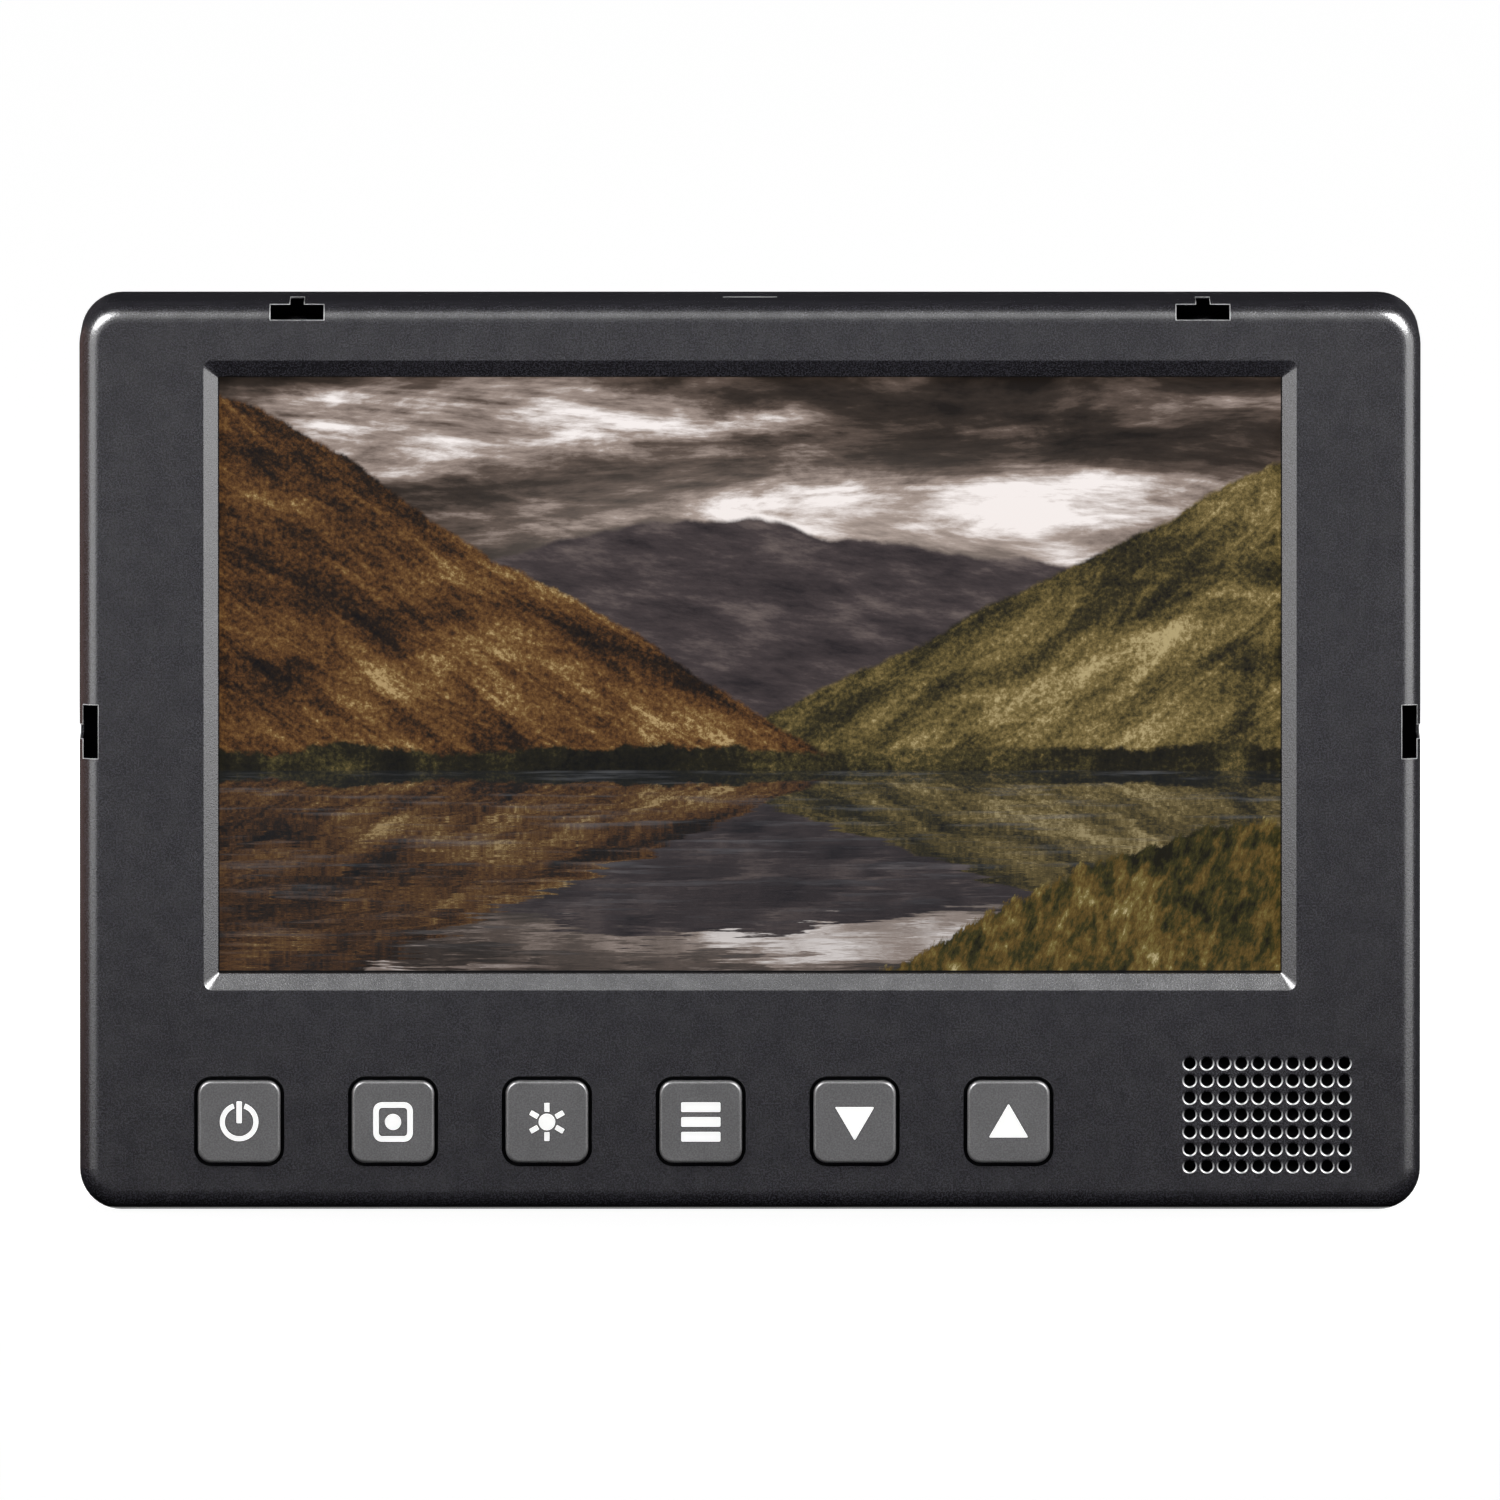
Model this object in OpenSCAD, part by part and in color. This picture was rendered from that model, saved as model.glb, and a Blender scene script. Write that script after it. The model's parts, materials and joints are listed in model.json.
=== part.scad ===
// Seven inch in-vehicle LCD monitor: a moulded front housing and rear cover around a screen module,
// a row of travelling keys, a small loudspeaker behind a drilled grille and a rear plug socket.
// Millimetres. X runs right, Y runs from the viewer to the back, Z runs up from the bottom edge.

/* [Screen window] */
// Width of the visible window
window_w = 153.4; // [146:0.1:180]
// Height of the visible window
window_h = 86.3; // [80:0.1:100]
// Width of the sloping bevel at the sides of the window
bevel_w = 2.1; // [1.5:0.1:3]
// Height of the sloping bevel above and below the window
bevel_h = 2.35; // [1.5:0.05:3]
// Depth of the sloping bevel
bevel_d = 1.3; // [0.8:0.1:2]
// Depth of the window from the face to the screen gasket
window_d = 2.9; // [2.6:0.1:4.5]
// Corner radius of the bevel at the face
bevel_r = 1.15; // [0.4:0.05:3]
// Corner radius of the window inside the bevel
window_r = 0.25; // [0.2:0.05:0.6]

/* [Housing] */
// Face beside the window, left and right
bezel_side = 20; // [19:0.5:30]
// Face above the window
bezel_top = 10.7; // [10.7:0.1:16]
// Face below the window, which carries the keys and the grille
bezel_bottom = 34.2; // [33:0.1:45]
// Depth of the front housing
front_d = 22; // [21:0.5:28]
// Depth of the rear cover
rear_d = 8; // [7:0.5:12]
// Wall of both shells
wall = 2.2; // [1.8:0.1:2.6]
// Thickness of the front plate
plate_t = 2; // [1.6:0.1:2.4]
// Corner radius of the outline
corner_r = 6; // [5:0.1:9]
// Rounding of the front edge
edge_r = 2.8; // [1:0.1:3.5]
// Rounding of the rear edge
rear_edge_r = 3; // [1:0.1:4]

/* [Keys] */
// Number of keys in the row
key_count = 6; // [6:1:6]
// Side of a square key cap
key_size = 11.9; // [10:0.1:13]
// Corner radius of a key cap
key_r = 2; // [1:0.1:3]
// Rounding of a key cap's front edge
key_edge = 0.45; // [0.2:0.05:0.8]
// How far a key stands proud of the face
key_proud = 1.2; // [0.8:0.1:2]
// Travel of a key
key_travel = 0.5; // [0.3:0.1:0.8]
// Gap between a key and its hole
key_gap = 0.55; // [0.3:0.05:0.6]
// Height of the key row above the bottom edge
key_z = 12.9; // [11.5:0.1:14]
// From the left edge to the middle of the first key
key_left = 23; // [22.5:0.1:26]
// From the right edge to the middle of the last key
key_right = 59.4; // [58:0.1:64]

/* [Loudspeaker] */
// Grille holes across
grille_cols = 10; // [6:1:10]
// Grille holes down
grille_rows = 7; // [4:1:7]
// Pitch of the grille holes
grille_pitch = 2.48; // [2.2:0.01:2.6]
// Diameter of a grille hole
grille_hole = 1.7; // [1.2:0.05:2]
// Chamfer round the mouth of a grille hole
grille_chamfer = 0.22; // [0.1:0.01:0.3]
// From the right edge to the middle of the grille
speaker_right = 22.1; // [21.8:0.1:24]
// Height of the grille's middle above the bottom edge
speaker_z = 13.85; // [12.6:0.05:15]
// Length of the racetrack loudspeaker
speaker_l = 26; // [24:0.5:27]
// Width of the racetrack loudspeaker
speaker_w = 18; // [17:0.5:18.5]

/* [Hood slots] */
// Width of a T slot for a sun hood's tongue
slot_w = 7.8; // [6:0.1:10]
// Thickness of a T slot
slot_t = 2.2; // [1.5:0.1:2.2]
// Width of the slot's keyway through the wall
slot_key = 2.1; // [1.5:0.1:3]
// Length of a T slot from the face
slot_len = 15; // [10:0.5:16]
// From the middle to each of the two top slots
slot_top_x = 65.3; // [50:0.1:75]
// Height of the two side slots above the bottom edge
slot_side_z = 69.2; // [60:0.1:85]

/* [Rear mount and socket] */
// Horizontal spacing of the mounting inserts
mount_w = 38; // [30:0.5:50]
// Vertical spacing of the mounting inserts
mount_h = 30; // [25:0.5:40]
// Bore radius of a mounting insert
insert_bore = 1.65; // [1.2:0.05:2]
// Radius of the plug socket's bore
socket_bore = 6.6; // [5:0.1:7]
// Usable depth of the plug socket
socket_deep = 6; // [4:0.5:7]

/* [Hidden] */
$fn = 48;

// Overlap that makes two shapes of one piece fuse
embed = 0.5;
// Overshoot of a cut past a surface
over = 1;
// Overshoot of a fine chamfer past a surface
lip = 0.05;
// Thickness of the discs that a sloping cut is stretched between
disc_t = 0.01;
// Clearance of a pin in its bore, and of a sheet between walls
pin_gap = 0.05;
sheet_gap = 0.1;

// Outline of the body
body_w = window_w + 2 * bezel_side;
body_h = bezel_bottom + window_h + bezel_top;
window_z = bezel_bottom + window_h / 2;
back_d = front_d + rear_d;
pad_t = 1.5;
pad_margin = 9;
pad_r = 4;
// The origin is under the middle of the depth, from the key caps to the rear pad
face_y = -(back_d + pad_t - key_proud) / 2;

// Lip of the rear cover inside the front housing
lip_gap = 0.15;
lip_t = 1.4;
lip_len = 2.5;
lip_in = wall + lip_gap + lip_t;

// Case screws in the four corners
boss_in = 4.2;
boss_inset = wall + boss_in;
boss_r = 3;
column_r = 3.9;
boss_top = front_d - lip_len - embed;
case_head_r = 2.7;
case_head_t = 2;
case_shank_r = 1.4;
case_shank_l = 15;
case_recess_d = 5;
case_seat = back_d - case_recess_d;
case_points = [for (x = [-1, 1], z = [0, 1])
  [x * (body_w / 2 - boss_inset), z == 0 ? boss_inset : body_h - boss_inset]];

// Snap window in the top wall and the rear cover's hook
snap_w = 8;
snap_len = 1.8;
snap_back = 8.8;
snap_d = front_d - snap_back;
snap_gap = 0.2;
snap_below = 0.8;

// Screen module, outside in
rim_w = 6;
gasket_t = 0.5;
gasket_w = 4;
gasket_set = 0.8;
lcd_side = 5.8;
lcd_top = 6.9;
lcd_w = window_w + 2 * lcd_side;
lcd_h = window_h + 2 * lcd_top;
lcd_t = 5.7;
lcd_skin = 0.4;
lcd_open = 1.6;
glass_t = 1.4;
diffuser_t = 0.6;
guide_t = 2.2;
led_zone = 4;
led_bar_t = 1;
led_size = 2.2;
led_count = 12;
ribbon_w = 40;
ribbon_t = 0.3;
ribbon_slack = 1;
lcd_d = window_d + gasket_t;
glass_d = lcd_d + lcd_skin;
guide_d = glass_d + glass_t + diffuser_t;
tray_d = guide_d + guide_t;
chassis_d = lcd_d + lcd_t;
inner_w = lcd_w - 2 * lcd_skin - 2 * sheet_gap;
inner_h = lcd_h - 2 * lcd_skin - 2 * sheet_gap;

// Main board
board_w = 124;
board_h = 80;
board_t = 1.6;
board_r = 2;
board_inset = 4;
board_side = board_w / 2;
board_end = board_h / 2;

// Chassis plate behind the screen
chassis_t = 1;
chassis_out = 6;
chassis_x = lcd_w / 2 + chassis_out;
chassis_up = board_end - board_inset;
chassis_edge = 3.4;
chassis_lip = 2;
chassis_r = 4;
chassis_open_w = 44;
chassis_open_h = 48;
chassis_open_x = 32;
post_r = 3;
chassis_points = [for (x = [-1, 1], z = [-1, 1]) [x * chassis_x, window_z + z * chassis_up]];
chassis_head_r = 2.6;
chassis_head_t = 1.8;
chassis_shank_r = 1.2;
chassis_shank_l = 5;

// Standoffs and screws of the main board
standoff_h = 4;
standoff_r = 2.9;
standoff_bore = 1.25;
spigot_r = 1.9;
board_d = chassis_d + chassis_t + standoff_h;
board_back = board_d + board_t;
board_head_r = 2.5;
board_head_t = 1.6;
board_shank_r = 1.2;
board_shank_l = 4.6;
board_points = [for (x = [-1, 1], z = [-1, 1])
  [x * (board_side - board_inset), window_z + z * (board_end - board_inset)]];

// Pieces on the main board, placed from its middle
decoder_at = [-12, -2];
decoder_side = 16;
decoder_h = 1.8;
memory_in = 24;
memory_up = 22;
memory_at = [memory_in - board_side, memory_up - board_end];
memory_side = 12;
memory_h = 1.6;
chip_r = 0.5;
chip_lift = 0.3;
chip_lead = [1.8, 0.7];
chip_lead_t = 0.6;
chip_lead_pitch = 1.6;
chip_lead_out = 0.3;
capacitor_in = 32;
capacitor_down = 10;
capacitor_at = [board_side - capacitor_in, board_end - capacitor_down];
capacitor_pitch = 11;
capacitor_count = 3;
capacitor_r = 4;
capacitor_h = 7.5;
capacitor_foot = 8.6;
capacitor_foot_t = 1;
capacitor_foot_r = 1.5;
choke_x = -2;
choke_down = 12;
choke_at = [choke_x, board_end - choke_down];
choke_side = 11;
choke_side_r = 2;
choke_foot_t = 1.2;
choke_r = 4.6;
choke_h = 5;
choke_top_t = 1;
can_in = 22;
can_at = [can_in - board_side, board_end - can_in];
can_w = 32;
can_h = 26;
can_r = 1;
can_deep = 3.6;
can_skin = 0.4;
can_hole_r = 1.2;
can_hole_x = 9;
can_hole_z = 6;

// Sockets for ribbons and leads
connector_deep = 3;
connector_h = 4.4;
connector_side = 3;
connector_up = 2;
lead_plug_w = 7.5;
lead_plug_h = 5;
lead_plug_deep = 4.5;
lead_plug_up = 7.7;
lead_in = 4.8;
lead_x = board_side - lead_in;

// Ribbons, at a height above the board that they end on
ribbon_bend = 1.5;
ribbon_stand = 1.5;
lcd_ribbon_drop = 4;
key_ribbon_w = 12;
key_ribbon_x = -40;
key_ribbon_drop = 2;
key_connector_up = 4;

// Mounting inserts in the rear cover
mount_z = body_h / 2;
insert_r = 2.9;
insert_l = 8;
insert_fit = 0.02;
mount_boss_r = 4.6;
mount_points = [for (x = [-1, 1], z = [-1, 1]) [x * mount_w / 2, mount_z + z * mount_h / 2]];

// Ventilation slots of the rear cover
vent_w = 2.2;
vent_h = 24;
vent_pitch = 5;
vent_count = 8;
vent_x = 40;
vent_drop = 34;
vent_z = body_h - vent_drop;

// Plug socket on the main board
socket_in = 20;
socket_up = 12;
socket_at = [board_side - socket_in, socket_up - board_end];
socket_x = socket_at[0];
socket_z = window_z + socket_at[1];
socket_block = 20;
socket_block_r = 1.5;
socket_wall = 1.6;
socket_collar = socket_bore + socket_wall;
socket_step = 0.8;
socket_floor = back_d - socket_deep;
insert_t = 4;
socket_clear = 0.2;
contact_ring = 3.9;
contact_count = 8;
contact_r = 0.9;
contact_bore = 0.55;
contact_tail = 0.4;
contact_deep = 3;
contact_points = [for (i = [0 : contact_count - 1]) [
  socket_x + contact_ring * cos(i * 360 / contact_count),
  socket_z + contact_ring * sin(i * 360 / contact_count)]];

// Keys, their switches and their board
key_pitch = (body_w - key_left - key_right) / (key_count - 1);
key_xs = [for (i = [0 : key_count - 1]) -body_w / 2 + key_left + i * key_pitch];
flange_t = 0.8;
flange_w = 1.15;
cap_boss_r = 2.2;
cap_boss_t = 1.4;
plunger_r = 1.75;
plunger_out = 1.4;
plunger_in = 1.6;
switch_w = 6.2;
switch_r = 0.4;
switch_h = 3.5;
plunger_d = plate_t + flange_t + cap_boss_t;
switch_d = plunger_d + plunger_out;
key_board_d = switch_d + switch_h;
key_board_t = 1.6;
key_board_h = 16;
key_board_r = 1.5;
key_post_r = 2.4;
key_post_x = 9.9;
key_board_end = 12.5;
key_rib_t = 1.6;
key_rib_h = 10;
key_head_r = 2.2;
key_head_t = 1.5;
key_shank_r = 1.1;
key_shank_l = 6;
key_board_points = [[key_xs[0] - key_post_x, key_z], [key_xs[key_count - 1] + key_post_x, key_z]];

// Run of a grille chamfer for each millimetre of depth
grille_slope = 2;

// Loudspeaker, from the grille back
speaker_x = body_w / 2 - speaker_right;
cloth_t = 0.3;
speaker_gasket_t = 0.8;
speaker_straight = speaker_l - speaker_w;
speaker_r = speaker_w / 2;
speaker_d = plate_t + cloth_t + speaker_gasket_t;
speaker_deep = 5.4;
speaker_rim = 1.2;
seat_gap = 0.25;
seat_t = 1;
seat_h = 3;
ledge_w = 1.1;
roll_r = 1.1;
roll_t = 0.3;
roll_d = 1.6;
foot_w = 0.8;
cone_gap = 0.3;
cone_t = 0.5;
coil_r = 3.9;
coil_t = 0.5;
coil_gap = 0.35;
coil_l = 2.2;
yoke_t = 0.9;
yoke_l = 3.4;
yoke_flange = 0.4;
basket_hole_r = 0.5;
basket_hole_x = 3.5;
basket_hole_z = 5.05;
clamp_t = 0.8;
clamp_w = 5.2;
clamp_out = 3.9;
clamp_x = speaker_l / 2 + clamp_out;
clamp_d = speaker_d + speaker_deep + yoke_t;
speaker_post_r = 2.4;
speaker_points = [[speaker_x - clamp_x, speaker_z], [speaker_x + clamp_x, speaker_z]];
lead_r = 0.55;
lead_gap = 2;
lead_bend = 2;
lead_start = [6, 7.1];
lead_stand = 2.8;

// Hood slots
slot_skin = 0.3;
// Extra depth of the side slots below their walls
slot_side_in = 0.2;
slot_floor = 0.8;
slot_side = 1.2;

// Extrudes a front-view outline (x, z) between two depths behind the face
module slice(from, to) {
  translate([0, face_y + to, 0]) rotate([90, 0, 0]) linear_extrude(to - from) children();
}

// Round bar along the depth at a front-view point
module peg(p, from, to, r) {
  translate([p[0], face_y + to, p[1]]) rotate([90, 0, 0]) cylinder(h = to - from, r = r);
}

// Cone along the depth at a front-view point, from one radius to another
module taper(p, from, to, r_from, r_to) {
  translate([p[0], face_y + to, p[1]]) rotate([90, 0, 0]) cylinder(h = to - from, r1 = r_to, r2 = r_from);
}

// Rectangle about the origin with round corners
module rounded_rect(w, h, r) {
  square([w - 2 * r, h], center = true);
  square([w, h - 2 * r], center = true);
  for (x = [-1, 1], y = [-1, 1]) translate([x * (w / 2 - r), y * (h / 2 - r)]) circle(r);
}

// Rectangular frame about the origin
module frame(w, h, w_in, h_in) {
  difference() {
    square([w, h], center = true);
    square([w_in, h_in], center = true);
  }
}

// Racetrack outline about the origin
module track(straight, r) {
  square([straight, 2 * r], center = true);
  for (x = [-1, 1]) translate([x * straight / 2, 0]) circle(r);
}

// Cross-section of a slab's border: thickness t, its lower outer edge rounded by e
module border_profile(r, e, t) {
  square([r - e, t]);
  translate([0, e]) square([r, t - e]);
  translate([r - e, e]) circle(e);
}

// Slab on z = 0 with round corners, and its edge at z = 0 rounded
module rounded_slab(w, h, r, e, t) {
  translate([-w / 2 + r, -h / 2 + r, 0]) cube([w - 2 * r, h - 2 * r, t]);
  for (a = [0, 1]) mirror([a, 0, 0]) {
    translate([w / 2 - r, h / 2 - r, 0]) rotate([90, 0, 0]) linear_extrude(h - 2 * r) border_profile(r, e, t);
    for (b = [0, 1]) mirror([0, b, 0])
      translate([w / 2 - r, h / 2 - r, 0]) rotate_extrude(angle = 90) border_profile(r, e, t);
  }
  for (b = [0, 1]) mirror([0, b, 0])
    translate([-w / 2 + r, h / 2 - r, 0]) rotate([90, 0, 90]) linear_extrude(w - 2 * r)
    border_profile(r, e, t);
}

// Slab standing behind the face, with its front edge rounded
module front_slab(p, from, w, h, r, e, t) {
  translate([p[0], face_y + from, p[1]]) rotate([-90, 0, 0]) rounded_slab(w, h, r, e, t);
}

// Runs a profile once round a racetrack, with the profile's x as the radius
module track_sweep(straight) {
  for (a = [0, 1]) mirror([a, 0, 0])
    translate([straight / 2, 0, 0]) rotate([0, 0, -90]) rotate_extrude(angle = 180) children();
  for (b = [0, 1]) mirror([0, b, 0])
    translate([-straight / 2, 0, 0]) rotate([90, 0, 90]) linear_extrude(straight) children();
}

// Puts a shape drawn about the loudspeaker's axis, its z as depth, in its place
module at_speaker(depth) {
  translate([speaker_x, face_y + depth, speaker_z]) rotate([-90, 0, 0]) children();
}

// Pan-head screw whose head rests on a face at a depth, the shank reaching forward
module screw(p, depth, head_r, head_t, shank_r, shank_l) {
  peg(p, depth, depth + head_t, head_r);
  peg(p, depth - shank_l, depth + embed, shank_r);
}

// Pilot bore for a screw of a shank radius and length, below a face at a depth
module pilot(p, depth, shank_r, shank_l) {
  peg(p, depth - shank_l - over / 2, depth + over, shank_r + pin_gap);
}

// Places an outline at the four hood slots, its y pointing out of the body
module hood_places() {
  for (x = [-1, 1]) translate([x * slot_top_x, body_h]) children();
  for (x = [-1, 1]) translate([x * (body_w / 2 - slot_side_in), slot_side_z]) rotate(-90 * x) children();
}

// T-shaped mouth of a hood slot
module hood_mouth() {
  translate([-slot_w / 2, -slot_skin - slot_t]) square([slot_w, slot_t]);
  translate([-slot_key / 2, -slot_skin - embed]) square([slot_key, slot_skin + embed + over]);
}

// Thickening of the wall under a hood slot
module hood_block() {
  block_w = slot_w + 2 * slot_side;
  block_low = slot_skin + slot_t + slot_floor;
  translate([-block_w / 2, -block_low]) square([block_w, block_low - slot_skin]);
}

// Pegs at the corners of the window, grown outward
module window_corners(out, from, to, r) {
  for (x = [-1, 1], z = [-1, 1]) {
    at = [x * (window_w / 2 + out[0] - r), window_z + z * (window_h / 2 + out[1] - r)];
    peg(at, from, to, r);
  }
}

// Screen window: a sloping bevel, its corners rounder at the face, and a straight land behind it
module window_cut() {
  grow = over / bevel_d;
  hull() {
    window_corners([bevel_w, bevel_h] * (1 + grow), -over - disc_t, -over,
      bevel_r + (bevel_r - window_r) * grow);
    window_corners([0, 0], bevel_d, bevel_d + disc_t, window_r);
  }
  slice(0, window_d + over) translate([0, window_z]) rounded_rect(window_w, window_h, window_r);
}

// One grille hole with its chamfered mouth
module grille_bore(p) {
  peg(p, -over, plate_t + over, grille_hole / 2);
  mouth = grille_hole / 2 + grille_chamfer + lip * grille_slope;
  taper(p, -lip, grille_chamfer / grille_slope, mouth, grille_hole / 2);
}

module front_housing() {
  color("#3b3a3e") difference() {
    union() {
      difference() {
        front_slab([0, body_h / 2], 0, body_w, body_h, corner_r, edge_r, front_d);
        slice(plate_t, front_d + over) translate([0, body_h / 2])
          rounded_rect(body_w - 2 * wall, body_h - 2 * wall, corner_r - wall);
      }
      slice(plate_t - embed, window_d) translate([0, window_z])
        square([window_w + 2 * rim_w, window_h + 2 * rim_w], center = true);
      for (p = case_points) peg(p, plate_t - embed, boss_top, boss_r);
      for (p = chassis_points) peg(p, plate_t - embed, chassis_d, post_r);
      for (p = key_board_points) peg(p, plate_t - embed, key_board_d, key_post_r);
      for (p = speaker_points) peg(p, plate_t - embed, clamp_d, speaker_post_r);
      for (i = [0 : key_count - 2]) slice(plate_t - embed, key_board_d)
        translate([(key_xs[i] + key_xs[i + 1]) / 2, key_z]) square([key_rib_t, key_rib_h], center = true);
      slice(plate_t - embed, speaker_d + seat_h) translate([speaker_x, speaker_z]) difference() {
        track(speaker_straight, speaker_r + seat_gap + seat_t);
        track(speaker_straight, speaker_r + seat_gap);
      }
      slice(plate_t - embed, slot_len + slot_side) intersection() {
        hood_places() hood_block();
        translate([0, body_h / 2]) rounded_rect(body_w - wall, body_h - wall, corner_r - wall / 2);
      }
    }
    window_cut();
    for (x = key_xs) slice(-over, plate_t + over) translate([x, key_z])
      rounded_rect(key_size + 2 * key_gap, key_size + 2 * key_gap, key_r + key_gap);
    for (i = [0 : grille_cols - 1], j = [0 : grille_rows - 1])
      grille_bore([speaker_x + (i - (grille_cols - 1) / 2) * grille_pitch,
        speaker_z + (j - (grille_rows - 1) / 2) * grille_pitch]);
    slice(-over, slot_len) hood_places() hood_mouth();
    slice(snap_d, snap_d + snap_len) translate([-snap_w / 2, body_h - wall - over])
      square([snap_w, wall + 2 * over]);
    for (p = case_points) pilot(p, case_seat, case_shank_r, case_shank_l);
    for (p = chassis_points) pilot(p, chassis_d, chassis_shank_r, chassis_shank_l);
    for (p = key_board_points) pilot(p, key_board_d, key_shank_r, key_shank_l);
    for (p = speaker_points) pilot(p, clamp_d, key_shank_r, key_shank_l);
  }
}

module rear_cover() {
  inner_d = back_d - wall;
  color("#29292b") difference() {
    union() {
      difference() {
        union() {
          translate([0, face_y + back_d, body_h / 2]) rotate([90, 0, 0])
            rounded_slab(body_w, body_h, corner_r, rear_edge_r, rear_d);
          slice(front_d - lip_len, front_d + embed) translate([0, body_h / 2]) rounded_rect(
            body_w - 2 * (wall + lip_gap), body_h - 2 * (wall + lip_gap), corner_r - wall - lip_gap);
        }
        slice(front_d - lip_len - over, inner_d) translate([0, body_h / 2])
          rounded_rect(body_w - 2 * lip_in, body_h - 2 * lip_in, corner_r - lip_in);
      }
      for (p = case_points) peg(p, boss_top, inner_d + embed, column_r);
      for (p = mount_points) peg(p, back_d + pad_t - insert_l - over, inner_d + embed, mount_boss_r);
      slice(back_d - embed, back_d + pad_t) translate([0, mount_z])
        rounded_rect(mount_w + 2 * pad_margin, mount_h + 2 * pad_margin, pad_r);
      snap_hook();
    }
    for (p = case_points) {
      peg(p, boss_top - over, back_d + over, case_shank_r + insert_fit + pin_gap);
      peg(p, case_seat, back_d + over, case_head_r + lip_gap);
    }
    for (p = mount_points) peg(p, back_d + pad_t - insert_l, back_d + pad_t + over, insert_r + insert_fit);
    for (s = [-1, 1], i = [0 : vent_count - 1]) slice(inner_d - over, back_d + over)
      translate([s * (vent_x + i * vent_pitch), vent_z]) rotate(90) track(vent_h - vent_w, vent_w / 2);
    peg([socket_x, socket_z], inner_d - over, back_d + over, socket_collar + socket_clear);
  }
}

// Tongue on the cover's lip whose nib catches in the snap window
module snap_hook() {
  hook_w = snap_w - 2 * snap_gap;
  nib_z = body_h - snap_below;
  slice(snap_d - embed, front_d + embed)
    translate([-hook_w / 2, body_h - lip_in]) square([hook_w, lip_t]);
  slice(snap_d + snap_gap, snap_d + snap_len - snap_gap)
    translate([-hook_w / 2, body_h - lip_in]) square([hook_w, nib_z - body_h + lip_in]);
}

module case_screws() {
  color("#1d1d1f") for (p = case_points)
    screw(p, case_seat, case_head_r, case_head_t, case_shank_r, case_shank_l);
}

module mount_inserts() {
  color("#b48a3c") for (p = mount_points) difference() {
    peg(p, back_d + pad_t - insert_l, back_d + pad_t, insert_r);
    peg(p, back_d + pad_t - insert_l - over, back_d + pad_t + over, insert_bore);
  }
}

module screen_gasket() {
  color("#161617") slice(window_d, lcd_d) translate([0, window_z]) frame(
    window_w + 2 * (gasket_set + gasket_w), window_h + 2 * (gasket_set + gasket_w),
    window_w + 2 * gasket_set, window_h + 2 * gasket_set);
}

// Pressed front frame of the screen module, open below where the ribbon leaves it
module lcd_frame() {
  color("#8b8d90") difference() {
    union() {
      slice(lcd_d, lcd_d + lcd_skin) translate([0, window_z])
        frame(lcd_w, lcd_h, window_w + 2 * lcd_open, window_h + 2 * lcd_open);
      slice(lcd_d, chassis_d) translate([0, window_z])
        frame(lcd_w, lcd_h, lcd_w - 2 * lcd_skin, lcd_h - 2 * lcd_skin);
    }
    slice(lcd_d + lcd_skin, chassis_d + over) translate([0, window_z - lcd_h / 2])
      square([ribbon_w + 2 * ribbon_slack, 2 * over], center = true);
  }
}

module lcd_glass() {
  color("#101214") slice(glass_d, glass_d + glass_t) translate([0, window_z])
    square([inner_w, inner_h], center = true);
}

module diffuser_sheet() {
  color("#f2f2ee") slice(glass_d + glass_t, guide_d) translate([0, window_z])
    square([inner_w, inner_h], center = true);
}

module light_guide() {
  color("#dfeaf0") slice(guide_d, tray_d) translate([0, window_z + led_zone / 2])
    square([inner_w, inner_h - led_zone], center = true);
}

// Strip along the guide's lower edge with its row of lamps
module led_strip() {
  strip_z = window_z - inner_h / 2;
  step = inner_w / led_count;
  color("#e9e6da") {
    slice(guide_d, tray_d) translate([-inner_w / 2, strip_z]) square([inner_w, led_bar_t]);
    for (i = [0 : led_count - 1]) slice(guide_d, tray_d)
      translate([(i - (led_count - 1) / 2) * step - led_size / 2, strip_z + led_bar_t - sheet_gap])
      square([led_size, led_zone - led_bar_t + sheet_gap]);
  }
}

module lcd_tray() {
  color("#c9cbc9") slice(tray_d, chassis_d) translate([0, window_z])
    square([inner_w, inner_h], center = true);
}

// Pressed plate that holds the screen to the housing's posts, with two lightening windows
module chassis_plate() {
  color("#a4a7aa") difference() {
    slice(chassis_d, chassis_d + chassis_t) translate([0, window_z]) difference() {
      rounded_rect(2 * (chassis_x + chassis_edge), 2 * (chassis_up + chassis_edge + chassis_lip), chassis_r);
      for (x = [-1, 1]) translate([x * chassis_open_x, 0])
        rounded_rect(chassis_open_w, chassis_open_h, chassis_r);
    }
    for (p = chassis_points)
      peg(p, chassis_d - over, chassis_d + chassis_t + over, chassis_shank_r + sheet_gap);
    for (p = board_points)
      peg(p, chassis_d - over, chassis_d + chassis_t + over, spigot_r + insert_fit);
  }
}

module chassis_screws() {
  color("#c4c6c8") for (p = chassis_points)
    screw(p, chassis_d + chassis_t, chassis_head_r, chassis_head_t, chassis_shank_r, chassis_shank_l);
}

// Hexagonal pillars riveted to the chassis by a spigot
module board_standoffs() {
  color("#b9974f") for (p = board_points) difference() {
    union() {
      peg(p, chassis_d + chassis_t, board_d, standoff_r, $fn = 6);
      peg(p, chassis_d, board_d - embed, spigot_r);
    }
    peg(p, chassis_d - over, board_d + over, standoff_bore);
  }
}

module main_board() {
  color("#1f5a34") difference() {
    slice(board_d, board_back) translate([0, window_z]) rounded_rect(board_w, board_h, board_r);
    for (p = board_points) peg(p, board_d - over, board_back + over, board_shank_r + sheet_gap);
    for (p = contact_points) peg(p, board_d - over, board_back + over, contact_tail + pin_gap);
  }
}

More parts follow.
